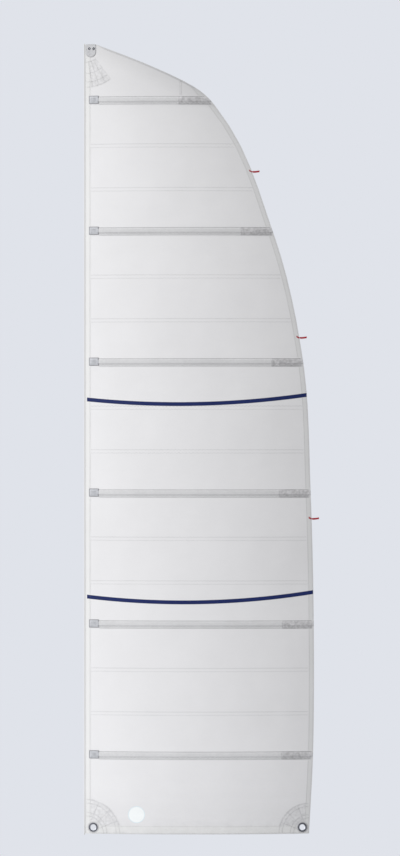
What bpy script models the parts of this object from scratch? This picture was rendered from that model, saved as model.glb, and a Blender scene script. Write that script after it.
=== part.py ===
"""A fully battened mainsail of a small beach catamaran, as separate solids, in metres.

X runs aft from the bolt rope to the leech, Z runs up the luff, and -Y is port, where the belly
and the batten pockets are. The origin is on the bolt rope's axis, at the height of the foot.

Every soft piece is set out flat: x along the chord, z up, and a depth off the cloth to port.
lay() puts such a point on the sail. Each level of the sail is one circular arc from the rope to
the leech. It keeps that arc over a short height at every batten, so that a batten slides out
along its own curve.
"""

import math

import bmesh
import bpy
import numpy as np
from mathutils import Matrix, Vector

# Sail plan
FIRST_BATTEN = 0.753  # height over the foot
BATTEN_PITCH = 1.256
PANELS_PER_BAY = 3
HEAD_RISE = 0.537  # the head, over the top batten
CORNER_RISE = 0.129  # the round corner between leech and head edge, over the top batten
FOOT_CHORD = 2.155
BATTEN_CHORDS = (2.193, 2.200, 2.171, 2.100, 1.809, 1.214)
CORNER_CHORD = 1.057
HEAD_EDGE_CHORD = 0.636  # halfway up from the corner to the head
HEAD_CHORD = 0.12

# Flying shape
FOOT_CAMBER = 0.064  # depth of the arc as a share of its chord, at the foot and the top batten
BELLY_CAMBER = 0.068  # the same, halfway up
TWIST = math.radians(4)  # how far the top batten falls off to port
FOOT_LEVEL = 0.34  # the foot's arc holds up to this height
BATTEN_LEVEL = 0.055  # a batten's arc holds this far above and below it

# Cloth and its layers
CLOTH = 0.0003
LAYER_GAP = 0.0004
STARBOARD_GAP = 0.00095
EDGE_GAP = 0.0003
LAP = 0.040
SEAM_DROP = 0.015  # a seam under a pocket lies this far below its batten
LAP_RAMP = 0.12  # a panel comes down from its lower lap to its own level over this height
PANEL_FRONT = 0.0125
PANEL_COLUMNS = 14
FOOT_COLUMNS = 24  # of the foot tape, which keeps clear of the round patches under it
ROW_STEP = 0.20
TOP_ROW_STEP = 0.06  # above the top batten

# Bolt rope and tapes
ROPE_RADIUS = 0.004
ROPE_PLAY = 0.0005
ROPE_TAIL = 0.012
LUFF_TAPE = 0.058
LEECH_TAPE = 0.050
HEAD_TAPE = 0.018  # the same tape, where it runs along the head edge
FOOT_TAPE = 0.080

# Battens, their pockets and their ends
BATTEN_RISE = 0.0085  # of a batten and its ends, over its pocket's middle
BATTEN_WIDTH = 0.022
BATTEN_THICKNESS = 0.004
BATTEN_PLAY = 0.0008
BATTEN_SIDE_PLAY = 0.0025
POCKET_WIDTH = 0.078
POCKET_COLUMNS = 16
BATTEN_COLUMNS = 20
CUT_PAST = 0.01  # how far a cutter runs past what it cuts
SLANT_ROOM = 0.02  # the last upright column is this far inside a raked end
LUFF_END_FRONT = 0.045
LUFF_END_LENGTH = 0.095
LUFF_END_WIDTH = 0.078
LUFF_END_WALL = 0.012
LUFF_END_SKIN = 0.0018
LUFF_END_ROUND = 0.002
CAP_INSET = 0.0005  # the cap ends this far inside the leech
CAP_LENGTH = 0.009
CAP_WALL = 0.0014
CAP_PLAY = 0.0003

# Corner patches, as quarter fans about their corners
PATCH_START = 0.01
TACK_PATCH = 0.340
CLEW_PATCH = 0.302
HEAD_PATCH = 0.415
HEAD_PATCH_START = 0.145
HEAD_PATCH_TURN = 37  # in degrees, from the luff
ROACH_PATCH_FRONT = 0.917
ROACH_PATCH_TIP = 0.012  # cut off its upper point

# Tack and clew rings, clamped through the cloth
RING_BORE = 0.027
RING_NECK = 0.033
RING_RIM = 0.044
RING_PLATE = 0.0025
RING_ROUND = 0.0012
TACK_RING_X = 0.0845
CLEW_RING_INSET = 0.065  # from the leech at the foot
RING_HEIGHT = 0.062

# Headboard
HEADBOARD_FRONT = 0.012
HEADBOARD_WIDTH = 0.100
HEADBOARD_HEIGHT = 0.120
HEADBOARD_PROUD = 0.006
HEADBOARD_PLATE = 0.0025
HEADBOARD_TOP_ROUND = 0.006
HEADBOARD_FOOT_ROUND = 0.046
BOARD_GAP = 0.0009  # a flat board on the curved cloth needs more room than a layer
EYE_BORE = 0.005
EYE_NECK = 0.0064
EYE_RIM = 0.0125
EYE_PLATE = 0.001
EYE_ROUND = 0.0003
EYE_FORE = 0.049  # the fore eye, aft of the rope
EYE_SPACING = 0.0435
EYE_DROP = 0.037  # below the head

# Draft stripes: the batten counted from, height over it at the luff, rise to the leech, sag
STRIPE_WIDTH = 0.037
STRIPE_FRONT = 0.025
STRIPE_STEP = 0.01  # the length in which it climbs onto a tape
STRIPE_INSET = 0.004  # from the leech
STRIPES = {"lower": (2, 0.266, 0.044, 0.072), "upper": (4, -0.354, 0.043, 0.065)}
STRIPE_COLUMNS = 22

# Telltales: the batten counted from, and the height over it
TELLTALES = {"low": (3, -0.242), "mid": (4, 0.237), "high": (5, 0.572)}
TELLTALE_LENGTH = 0.070
TELLTALE_WIDTH = 0.017
TELLTALE_ROOT = 0.002
TELLTALE_THICKNESS = 0.0006
TELLTALE_WAVE = 0.003
TELLTALE_LIFT = 0.006  # of its free end
TELLTALE_NARROW = 0.12  # the share of its length in which it widens from its root
TELLTALE_GAP = 0.0009  # from the cloth's edge, over the tape's fold
TELLTALE_PIVOT = 0.0045

# Depths that follow from the layers, as centre lines towards port
LAP_DEPTH = CLOTH + LAYER_GAP
UNDER_PATCH_DEPTH = CLOTH + EDGE_GAP
TAPE_DEPTH = LAP_DEPTH + CLOTH + LAYER_GAP
FLANGE_DEPTH = TAPE_DEPTH + 2 * CLOTH
STARBOARD_DEPTH = -(CLOTH + STARBOARD_GAP)
BATTEN_DEPTH = FLANGE_DEPTH + BATTEN_THICKNESS / 2
HAT_DEPTH = BATTEN_DEPTH + BATTEN_THICKNESS / 2 + BATTEN_PLAY + CLOTH / 2
FOLD = CLOTH / 2 + EDGE_GAP
TUNNEL_WIDTH = BATTEN_WIDTH + 2 * BATTEN_SIDE_PLAY

# Heights that follow from the plan
BATTEN_HEIGHTS = [FIRST_BATTEN + k * BATTEN_PITCH for k in range(len(BATTEN_CHORDS))]
TOP_BATTEN = BATTEN_HEIGHTS[-1]
HEAD = TOP_BATTEN + HEAD_RISE
CORNER = TOP_BATTEN + CORNER_RISE
SEAMS = [
    FIRST_BATTEN - SEAM_DROP + k * BATTEN_PITCH / PANELS_PER_BAY
    for k in range(PANELS_PER_BAY * (len(BATTEN_CHORDS) - 1) + 1)
]
LEVEL_STOPS = [0, FOOT_LEVEL]
LEVELS = [0, 0]
for height in BATTEN_HEIGHTS:
    LEVEL_STOPS += [height - BATTEN_LEVEL, height + BATTEN_LEVEL]
    LEVELS += [height, height]
PLAN_HEIGHTS = [0, *BATTEN_HEIGHTS, CORNER, (CORNER + HEAD) / 2, HEAD]
PLAN_CHORDS = [FOOT_CHORD, *BATTEN_CHORDS, CORNER_CHORD, HEAD_EDGE_CHORD, HEAD_CHORD]


def filled(stops, step):
    """The stops in order, with even ones between, so that none are further apart than step."""
    stops = sorted(set(np.round(stops, 6)))
    out = [stops[0]]
    for low, high in zip(stops, stops[1:]):
        parts = math.ceil((high - low) / step)
        out += [low + (high - low) * k / parts for k in range(1, parts + 1)]
    return [float(x) for x in out]


def evenly(low, high, parts):
    return [low + (high - low) * k / parts for k in range(parts + 1)]


def smooth(z):
    """The plan's edge: a curve through its chords, as steep at each as its two sides on average."""
    sides = np.diff(PLAN_CHORDS) / np.diff(PLAN_HEIGHTS)
    slopes = [sides[0], *((sides[:-1] + sides[1:]) / 2), sides[-1]]
    i = int(np.clip(np.searchsorted(PLAN_HEIGHTS, z) - 1, 0, len(sides) - 1))
    span = PLAN_HEIGHTS[i + 1] - PLAN_HEIGHTS[i]
    t = (z - PLAN_HEIGHTS[i]) / span
    return float(
        (2 * t**3 - 3 * t**2 + 1) * PLAN_CHORDS[i]
        + (t**3 - 2 * t**2 + t) * span * slopes[i]
        + (3 * t**2 - 2 * t**3) * PLAN_CHORDS[i + 1]
        + (t**3 - t**2) * span * slopes[i + 1]
    )


# Every height at which the cloth has a row of points, and the leech there
LAP_EDGES = [seam + side * LAP / 2 for seam in SEAMS for side in (-1, 1)]
TOP_ROWS = filled([TOP_BATTEN + BATTEN_LEVEL, CORNER, HEAD], TOP_ROW_STEP)
HEIGHTS = filled([0, *LEVEL_STOPS, *LAP_EDGES, *TOP_ROWS], ROW_STEP)
LEECH = [smooth(z) for z in HEIGHTS]


def leech(z):
    return float(np.interp(z, HEIGHTS, LEECH))


def rake(z, step=0.01):
    """How much further it is along the chord than square to the plan's edge, at height z."""
    return math.hypot(1, (smooth(z + step) - smooth(z - step)) / (2 * step))


def tape_width(z):
    narrowing = (TOP_BATTEN + BATTEN_LEVEL, CORNER)
    return float(np.interp(z, narrowing, (LEECH_TAPE, HEAD_TAPE)))


BOARD_BACK = HEADBOARD_FRONT + HEADBOARD_WIDTH + EDGE_GAP
TAPE_LINE = [max(x - tape_width(z) * rake(z), BOARD_BACK) for x, z in zip(LEECH, HEIGHTS)]


def tape_line(z):
    """x of the leech tape's inner edge."""
    return float(np.interp(z, HEIGHTS, TAPE_LINE))


def section(z):
    """(half the chord, radius, centre's distance from the chord, twist) of the arc at height z."""
    level = float(np.interp(z, LEVEL_STOPS, LEVELS))
    chord = leech(level)
    rise = level / TOP_BATTEN
    camber = FOOT_CAMBER + (BELLY_CAMBER - FOOT_CAMBER) * math.sin(math.pi * rise)
    deep = chord * camber
    radius = chord**2 / (8 * deep) + deep / 2
    return chord / 2, radius, radius - deep, TWIST * rise


def lay(x, z, depth):
    """The point of the sail over chord position x at height z, depth off the cloth to port."""
    half, radius, centre, twist = section(z)
    across = (x - half) / radius
    off = math.sqrt(1 - across**2)
    flat = Vector((x + depth * across, centre - (radius + depth) * off, z))
    return Matrix.Rotation(-twist, 3, "Z") @ flat


def seat(x, z):
    """The frame of a rigid piece there: X aft along the cloth, Y up, Z off the cloth to port."""
    half, radius, _, twist = section(z)
    turn = math.asin((x - half) / radius) - twist
    place = Matrix.Translation(lay(x, z, 0)) @ Matrix.Rotation(turn, 4, "Z")
    return place @ Matrix.Rotation(math.pi / 2, 4, "X")


def arc_centre(z):
    half, _, centre, twist = section(z)
    return Matrix.Rotation(-twist, 3, "Z") @ Vector((half, centre, z))


def material(name, colour, roughness, metallic=0.0):
    made = bpy.data.materials.new(name)
    made.use_nodes = True
    made.diffuse_color = (*colour, 1)
    shader = made.node_tree.nodes["Principled BSDF"]
    shader.inputs["Base Color"].default_value = (*colour, 1)
    shader.inputs["Roughness"].default_value = roughness
    shader.inputs["Metallic"].default_value = metallic
    return made


def clear_scene():
    for obj in list(bpy.data.objects):
        bpy.data.objects.remove(obj, do_unlink=True)


clear_scene()
PARTS = bpy.data.collections.new("mainsail")
CUTTERS = bpy.data.collections.new("cutters")
for collection in (PARTS, CUTTERS):
    bpy.context.scene.collection.children.link(collection)
CUTTERS.hide_render = True

CLOTH_WHITE = material("sailcloth", (0.76, 0.76, 0.77), 0.45)
TAPE_WHITE = material("edge_tape", (0.70, 0.70, 0.71), 0.6)
POCKET_WHITE = material("pocket_tape", (0.60, 0.60, 0.62), 0.6)
PATCH_WHITE = material("patch_cloth", (0.66, 0.66, 0.68), 0.5)
ROPE_WHITE = material("bolt_rope", (0.72, 0.72, 0.70), 0.8)
END_GREY = material("luff_end_plastic", (0.40, 0.41, 0.43), 0.5)
CAP_GREY = material("cap_plastic", (0.55, 0.55, 0.56), 0.5)
BATTEN_GREY = material("batten_glass", (0.62, 0.63, 0.60), 0.35)
STEEL = material("stainless_ring", (0.42, 0.43, 0.46), 0.3, 1.0)
EYE_STEEL = material("dark_eye", (0.10, 0.10, 0.11), 0.4, 1.0)
BOARD_GREY = material("headboard_plate", (0.66, 0.67, 0.68), 0.4, 0.6)
STRIPE_BLUE = material("draft_stripe", (0.021, 0.032, 0.15), 0.5)
RIBBON_RED = material("telltale_ribbon", (0.55, 0.02, 0.03), 0.6)


def axis_empty(name, at, parent=None):
    empty = bpy.data.objects.new(name, None)
    empty.empty_display_size = 0.1
    PARTS.objects.link(empty)
    hang(empty, parent)
    empty.matrix_world = Matrix.Translation(at)
    bpy.context.view_layer.update()
    return empty


def hang(obj, parent):
    """Parents the object and leaves it where it is."""
    if parent:
        obj.parent = parent
        obj.matrix_parent_inverse = parent.matrix_world.inverted()


SAIL = axis_empty("sail_swing_axis", (0, 0, 0))


def add(name, mesh, colour, parent=SAIL, matrix=None):
    obj = bpy.data.objects.new(name, mesh)
    PARTS.objects.link(obj)
    mesh.materials.append(colour)
    hang(obj, parent)
    if matrix:
        obj.matrix_basis = matrix
    return obj


def mesh_of(name, bm, smooth_shaded=False):
    mesh = bpy.data.meshes.new(name)
    for face in bm.faces:
        face.smooth = smooth_shaded
    bm.to_mesh(mesh)
    bm.free()
    return mesh


def cloth(name, across, along, place, thickness, colour, parent=SAIL):
    """A sheet of the given thickness. Its grid point (a, b) goes to place(a, b)."""
    bm = bmesh.new()
    bmesh.ops.create_grid(bm, x_segments=len(across) - 1, y_segments=len(along) - 1, size=0.5)
    for vert in bm.verts:
        a = across[round((vert.co.x + 0.5) * (len(across) - 1))]
        b = along[round((vert.co.y + 0.5) * (len(along) - 1))]
        vert.co = place(a, b)
    bmesh.ops.triangulate(bm, faces=bm.faces[:], quad_method="SHORT_EDGE")
    obj = add(name, mesh_of(name, bm, smooth_shaded=True), colour, parent)
    solid = obj.modifiers.new("thickness", "SOLIDIFY")
    solid.thickness = thickness
    solid.offset = 0
    solid.use_even_offset = True
    return obj


def block(xs, zs, depths, from_leech=False):
    """A box laid on the sail, as a mesh. Its x counts from the leech if from_leech."""
    bm = bmesh.new()
    bmesh.ops.create_cube(bm, size=1)
    for vert in bm.verts:
        x = xs[vert.co.x > 0]
        z = zs[vert.co.y > 0]
        depth = depths[vert.co.z > 0]
        vert.co = lay(leech(z) + x * rake(z) if from_leech else x, z, depth)
    bmesh.ops.recalc_face_normals(bm, faces=bm.faces)
    return bm


def cutter(name, bm, matrix=None):
    obj = bpy.data.objects.new(name, mesh_of(name, bm))
    CUTTERS.objects.link(obj)
    obj.hide_render = True
    obj.display_type = "WIRE"
    if matrix:
        obj.matrix_world = matrix
    return obj


def cut(obj, tool):
    boolean = obj.modifiers.new("cut_" + tool.name, "BOOLEAN")
    boolean.operation = "DIFFERENCE"
    boolean.solver = "EXACT"
    boolean.object = tool


def hole(name, radius, matrix):
    bm = bmesh.new()
    bmesh.ops.create_cone(
        bm, cap_ends=True, segments=32, radius1=radius, radius2=radius, depth=2 * CUT_PAST
    )
    return cutter(name, bm, matrix)


def spool(name, bore, neck, rim, plate, low, high, edge, matrix, colour, steps=32):
    """A ring clamped through a hole: a neck, and two flat rims that lie below low and above high."""
    profile = [
        (rim, high + plate - edge),
        (rim, high),
        (neck, high),
        (neck, low),
        (rim, low),
        (rim, low - plate + edge),
        (rim - edge, low - plate),
        (bore + edge, low - plate),
        (bore, low - plate + edge),
        (bore, high + plate - edge),
        (bore + edge, high + plate),
        (rim - edge, high + plate),
    ]
    bm = bmesh.new()
    points = [bm.verts.new((r, 0, z)) for r, z in profile]
    for a, b in zip(points, points[1:] + points[:1]):
        bm.edges.new((a, b))
    obj = add(name, mesh_of(name, bm), colour, matrix=matrix)
    screw = obj.modifiers.new("turn", "SCREW")
    screw.steps = steps
    screw.render_steps = steps
    screw.use_merge_vertices = True
    screw.merge_threshold = 0.00001
    screw.use_normal_calculate = False
    return obj


def arc(centre, radius, start, end, parts):
    angles = evenly(math.radians(start), math.radians(end), parts)
    return [(centre[0] + radius * math.cos(a), centre[1] + radius * math.sin(a)) for a in angles]


def bolt_rope():
    long = HEAD + 2 * ROPE_TAIL
    bm = bmesh.new()
    bmesh.ops.create_cone(
        bm, cap_ends=True, segments=16, radius1=ROPE_RADIUS, radius2=ROPE_RADIUS, depth=long
    )
    bmesh.ops.translate(bm, verts=bm.verts, vec=(0, 0, HEAD / 2))
    return add("bolt_rope", mesh_of("bolt_rope", bm), ROPE_WHITE, parent=None)


def luff_tape():
    """A sleeve round the rope, with a leg on each side of the cloth."""
    radius = ROPE_RADIUS + ROPE_PLAY + CLOTH / 2
    start = math.degrees(math.asin(TAPE_DEPTH / radius))
    end = 360 - math.degrees(math.asin(-STARBOARD_DEPTH / radius))
    line = [
        (LUFF_TAPE, TAPE_DEPTH),
        *arc((0, 0), radius, start, end, 9),
        (LUFF_TAPE, STARBOARD_DEPTH),
    ]
    rows = filled([*LEVEL_STOPS, HEAD], BATTEN_PITCH / 4)
    return cloth(
        "luff_tape", line, rows, lambda p, z: lay(p[0], z, p[1]), CLOTH, TAPE_WHITE
    )


def leech_tape():
    """A tape folded over the leech, up round its corner and along the head edge."""
    fold = [
        ("leg", STARBOARD_DEPTH),
        ("fold", STARBOARD_DEPTH),
        ("fold", TAPE_DEPTH),
        ("leg", TAPE_DEPTH),
    ]

    def place(p, z):
        x = tape_line(z) if p[0] == "leg" else leech(z) + FOLD * rake(z)
        return lay(x, z, p[1])

    return cloth("leech_tape", fold, HEIGHTS, place, CLOTH, TAPE_WHITE)


def foot_tape():
    fold = [
        (FOOT_TAPE, STARBOARD_DEPTH),
        (-FOLD, STARBOARD_DEPTH),
        (-FOLD, TAPE_DEPTH),
        (FOOT_TAPE, TAPE_DEPTH),
    ]

    def place(u, p):
        front = LUFF_TAPE + EDGE_GAP
        back = tape_line(p[0]) - EDGE_GAP
        return lay(front + u * (back - front), p[0], p[1])

    return cloth("foot_tape", evenly(0, 1, FOOT_COLUMNS), fold, place, CLOTH, TAPE_WHITE)


def panels():
    """Each panel's lower edge laps outside the upper edge of the one below it."""
    edges = [LAP / 2, *SEAMS, HEAD - LAP / 2]
    made = []
    for number, (below, above) in enumerate(zip(edges, edges[1:]), start=1):
        low, high = below - LAP / 2, above + LAP / 2
        rows = [z for z in HEIGHTS if low - 1e-5 < z < high + 1e-5]
        lapped = LAP_DEPTH if number > 1 else 0
        ramp = (low + LAP, low + LAP + LAP_RAMP)

        def place(u, z, ramp=ramp, lapped=lapped):
            between = LUFF_TAPE + u * (tape_line(z) - LUFF_TAPE)
            x = {-1: PANEL_FRONT, 2: leech(z)}.get(u, between)
            return lay(x, z, float(np.interp(z, ramp, (lapped, 0))))

        columns = [-1, *evenly(0, 1, PANEL_COLUMNS), 2]
        made.append(cloth(f"panel_{number:02d}", columns, rows, place, CLOTH, CLOTH_WHITE))
    return made


def batten_pocket(number, height):
    """A strip sewn down along both edges, raised between them to make the batten's tunnel."""
    line = [
        (-POCKET_WIDTH / 2, FLANGE_DEPTH),
        (BATTEN_RISE - TUNNEL_WIDTH / 2, HAT_DEPTH),
        (BATTEN_RISE + TUNNEL_WIDTH / 2, HAT_DEPTH),
        (POCKET_WIDTH / 2, FLANGE_DEPTH),
    ]
    front = LUFF_END_FRONT + LUFF_END_LENGTH + EDGE_GAP
    back = min(tape_line(height + p[0]) for p in line) - SLANT_ROOM

    def place(u, p):
        z = height + p[0]
        end = leech(z) - (CAP_INSET + CAP_LENGTH + EDGE_GAP) * rake(z)
        x = {2: tape_line(z) - EDGE_GAP, 3: end}.get(u, front + u * (back - front))
        return lay(x, z, p[1])

    columns = [*evenly(0, 1, POCKET_COLUMNS), 2, 3]
    return cloth(f"batten_pocket_{number}", columns, line, place, CLOTH, POCKET_WHITE)


def luff_end(number, height):
    """A moulded box that the batten's front end pushes into, open aft and towards the cloth."""
    base = FLANGE_DEPTH - CLOTH / 2
    top = HAT_DEPTH + LUFF_END_SKIN
    back = LUFF_END_FRONT + LUFF_END_LENGTH
    middle = height + BATTEN_RISE
    low = middle - LUFF_END_WIDTH / 2
    body = block((LUFF_END_FRONT, back), (low, low + LUFF_END_WIDTH), (base, top))
    name = f"luff_end_{number}"
    obj = add(name, mesh_of(name, body), END_GREY)
    bevel = obj.modifiers.new("edges", "BEVEL")
    bevel.width = LUFF_END_ROUND
    bevel.segments = 2
    room = TUNNEL_WIDTH / 2
    inner = block(
        (LUFF_END_FRONT + LUFF_END_WALL, back + CUT_PAST),
        (middle - room, middle + room),
        (base - CUT_PAST, HAT_DEPTH - CLOTH / 2),
    )
    cut(obj, cutter(f"tunnel_{number}", inner))
    return obj


def batten(number, height, parent):
    """A flat bar that follows the arc, with its aft end cut along the leech."""
    short = CAP_INSET + CAP_WALL + CAP_PLAY
    middle = height + BATTEN_RISE
    front = LUFF_END_FRONT + LUFF_END_WALL + EDGE_GAP
    back = leech(middle + BATTEN_WIDTH / 2) - SLANT_ROOM

    def place(u, side):
        z = middle + side * BATTEN_WIDTH / 2
        x = front + u * (back - front) if u <= 1 else leech(z) - short * rake(z)
        return lay(x, z, BATTEN_DEPTH)

    return cloth(
        f"batten_{number}",
        [*evenly(0, 1, BATTEN_COLUMNS), 2],
        (-1, 1),
        place,
        BATTEN_THICKNESS,
        BATTEN_GREY,
        parent,
    )


def batten_cap(number, height, parent):
    """The end cap, over the batten's aft end, between the pocket and the leech."""
    room = BATTEN_WIDTH / 2 + CAP_PLAY
    middle = height + BATTEN_RISE
    base = FLANGE_DEPTH - CLOTH / 2
    high = BATTEN_DEPTH + BATTEN_THICKNESS / 2 + CAP_PLAY
    body = block(
        (-CAP_INSET - CAP_LENGTH, -CAP_INSET),
        (middle - room - CAP_WALL, middle + room + CAP_WALL),
        (base, high + CAP_WALL),
        from_leech=True,
    )
    socket = block(
        (-CAP_INSET - CAP_LENGTH - CUT_PAST, -CAP_INSET - CAP_WALL),
        (middle - room, middle + room),
        (base - CUT_PAST, high),
        from_leech=True,
    )
    name = f"batten_cap_{number}"
    obj = add(name, mesh_of(name, body), CAP_GREY, parent)
    cut(obj, cutter(f"socket_{number}", socket))
    return obj


def fan(name, corner, reach, turn, depth, spokes=6, steps=4):
    """A patch between two distances from a corner, over a turn in degrees."""

    def place(r, angle):
        x = corner[0] + r * math.cos(math.radians(angle))
        z = corner[1] + r * math.sin(math.radians(angle))
        return lay(x, z, depth)

    return cloth(name, evenly(*reach, steps), evenly(*turn, spokes), place, CLOTH, PATCH_WHITE)


def roach_patch():
    """The small patch at the upper end of the leech, over the top pocket and inside the tape."""
    low = TOP_BATTEN + POCKET_WIDTH / 2 + EDGE_GAP
    above = [(-x, z) for x, z in zip(TAPE_LINE, HEIGHTS) if z > TOP_BATTEN]
    high = float(np.interp(-ROACH_PATCH_FRONT, *zip(*above)))

    def place(u, z):
        back = tape_line(z) - 2 * EDGE_GAP
        return lay(ROACH_PATCH_FRONT + u * (back - ROACH_PATCH_FRONT), z, TAPE_DEPTH)

    tip = high - ROACH_PATCH_TIP
    rows = [low, *(z for z in HEIGHTS if low < z < tip), tip]
    return cloth("roach_patch", evenly(0, 1, 4), rows, place, CLOTH, PATCH_WHITE)


def rings_and_corners(bottom, luff, edge, foot):
    """The tack and clew patches and rings, with their hole through every layer of cloth."""
    low = STARBOARD_DEPTH - CLOTH / 2 - BOARD_GAP
    high = TAPE_DEPTH + CLOTH / 2 + LAYER_GAP
    tack_reach, clew_reach = (PATCH_START, TACK_PATCH), (PATCH_START, CLEW_PATCH)
    tack = fan("tack_patch", (PANEL_FRONT, 0), tack_reach, (0, 90), UNDER_PATCH_DEPTH)
    clew = fan("clew_patch", (leech(0), 0), clew_reach, (90, 180), UNDER_PATCH_DEPTH)
    corners = (
        ("tack_ring", TACK_RING_X, (bottom, luff, foot, tack)),
        ("clew_ring", leech(0) - CLEW_RING_INSET, (bottom, edge, foot, clew)),
    )
    for name, x, layers in corners:
        place = seat(x, RING_HEIGHT)
        sizes = (RING_BORE, RING_NECK, RING_RIM, RING_PLATE, low, high, RING_ROUND)
        spool(name, *sizes, place, STEEL)
        opening = hole("hole_" + name, RING_NECK + EDGE_GAP, place)
        for layer in layers:
            cut(layer, opening)


def headboard_outline():
    """The board's outline round its own centre: small corners on top, large ones below."""
    x, top, low = HEADBOARD_WIDTH / 2, HEADBOARD_HEIGHT / 2, -HEADBOARD_HEIGHT / 2
    small, large = HEADBOARD_TOP_ROUND, HEADBOARD_FOOT_ROUND
    return [
        *arc((x - small, top - small), small, 0, 90, 4),
        *arc((small - x, top - small), small, 90, 180, 4),
        *arc((large - x, low + large), large, 180, 270, 8),
        *arc((x - large, low + large), large, 270, 360, 8),
    ]


def headboard(top_panel, luff):
    """Two flat plates with the cloth between them, held by two eyes."""
    x = HEADBOARD_FRONT + HEADBOARD_WIDTH / 2
    z = HEAD + HEADBOARD_PROUD - HEADBOARD_HEIGHT / 2
    place = seat(x, z)
    high = TAPE_DEPTH + CLOTH / 2 + LAYER_GAP
    low = STARBOARD_DEPTH - CLOTH / 2 - BOARD_GAP
    eyes = [(EYE_FORE + k * EYE_SPACING - x, HEAD - EYE_DROP - z) for k in (0, 1)]
    for name, centre in (
        ("headboard_port", high + HEADBOARD_PLATE / 2),
        ("headboard_starboard", low - HEADBOARD_PLATE / 2),
    ):
        curve = bpy.data.curves.new(name, "CURVE")
        curve.dimensions = "2D"
        curve.fill_mode = "BOTH"
        curve.extrude = HEADBOARD_PLATE / 2
        loops = [headboard_outline()]
        loops += [arc(eye, EYE_NECK + EDGE_GAP, 0, 345, 23) for eye in eyes]
        for loop in loops:
            spline = curve.splines.new("POLY")
            spline.points.add(len(loop) - 1)
            spline.use_cyclic_u = True
            for point, (px, py) in zip(spline.points, loop):
                point.co = (px, py, 0, 1)
        add(name, curve, BOARD_GREY, matrix=place @ Matrix.Translation((0, 0, centre)))
    for name, (dx, dz) in zip(("headboard_eye_fore", "headboard_eye_aft"), eyes):
        at = place @ Matrix.Translation((dx, dz, 0))
        ends = (low - HEADBOARD_PLATE - LAYER_GAP, high + HEADBOARD_PLATE + LAYER_GAP)
        sizes = (EYE_BORE, EYE_NECK, EYE_RIM, EYE_PLATE, *ends, EYE_ROUND)
        spool(name, *sizes, at, EYE_STEEL, steps=20)
        opening = hole("hole_" + name, EYE_NECK + EDGE_GAP, at)
        cut(top_panel, opening)
        cut(luff, opening)


def draft_stripe(level, number, over, rise, sag):
    """A stripe that sags with the arc. It lies on the cloth, and steps up onto the edge tapes."""
    height = BATTEN_HEIGHTS[number - 1] + over
    back = leech(height) - STRIPE_INSET
    on_luff, on_leech = LUFF_TAPE + EDGE_GAP, tape_line(height) - EDGE_GAP
    columns = [
        STRIPE_FRONT,
        on_luff,
        *evenly(on_luff + STRIPE_STEP, on_leech - STRIPE_STEP, STRIPE_COLUMNS),
        on_leech,
        back,
    ]

    def place(x, side):
        share = (x - STRIPE_FRONT) / (back - STRIPE_FRONT)
        z = height + rise * share - sag * 4 * share * (1 - share) + side * STRIPE_WIDTH / 2
        raised = x <= on_luff or x >= on_leech
        return lay(x, z, FLANGE_DEPTH if raised else TAPE_DEPTH)

    return cloth(f"draft_stripe_{level}", columns, (-1, 1), place, CLOTH, STRIPE_BLUE)


def telltale(level, number, over):
    """A ribbon that flies from the leech on an upright pivot."""
    height = BATTEN_HEIGHTS[number - 1] + over
    depth = (TAPE_DEPTH + STARBOARD_DEPTH) / 2
    pivot = lay(leech(height) + TELLTALE_PIVOT, height, depth)
    axis = axis_empty(f"telltale_{level}_axis", pivot, SAIL)

    def place(s, side):
        narrow = max(0, 1 - s / TELLTALE_NARROW)
        width = TELLTALE_WIDTH + (TELLTALE_ROOT - TELLTALE_WIDTH) * narrow
        wave = TELLTALE_WAVE * math.sin(2 * math.pi * s) + TELLTALE_LIFT * s
        z = height + wave + side * width / 2
        root = leech(z if s == 0 else height) + TELLTALE_GAP * rake(height)
        return lay(root + s * TELLTALE_LENGTH, z, depth)

    stations = [0, TELLTALE_NARROW / 2, *evenly(TELLTALE_NARROW, 1, 9)]
    name = f"telltale_{level}"
    return cloth(name, stations, (-1, 1), place, TELLTALE_THICKNESS, RIBBON_RED, axis)


def mainsail():
    bolt_rope()
    luff, edge, foot = luff_tape(), leech_tape(), foot_tape()
    strips = panels()
    for number, height in enumerate(BATTEN_HEIGHTS, start=1):
        batten_pocket(number, height)
        luff_end(number, height)
        axis = axis_empty(f"batten_{number}_axis", arc_centre(height + BATTEN_RISE), SAIL)
        batten(number, height, axis)
        batten_cap(number, height, axis)
    rings_and_corners(strips[0], luff, edge, foot)
    reach, turn = (HEAD_PATCH_START, HEAD_PATCH), (-90, HEAD_PATCH_TURN - 90)
    fan("head_patch", (PANEL_FRONT, HEAD), reach, turn, UNDER_PATCH_DEPTH, spokes=4)
    roach_patch()
    headboard(strips[-1], luff)
    for level, shape in STRIPES.items():
        draft_stripe(level, *shape)
    for level, place in TELLTALES.items():
        telltale(level, *place)


mainsail()
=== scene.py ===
"""Looks of the mainsail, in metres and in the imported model's frame.

The cloth, seams, stitching and fittings are built finer here than in the CAD, on the same plan.
As there, a piece is set out flat: x along the chord, z up, and a depth off the cloth to port.
lay() puts such points on the sail. It also adds the waves that the cloth has between its battens.
"""

import math

import bmesh
import bpy
import numpy as np
from mathutils import Matrix, Vector


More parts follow.
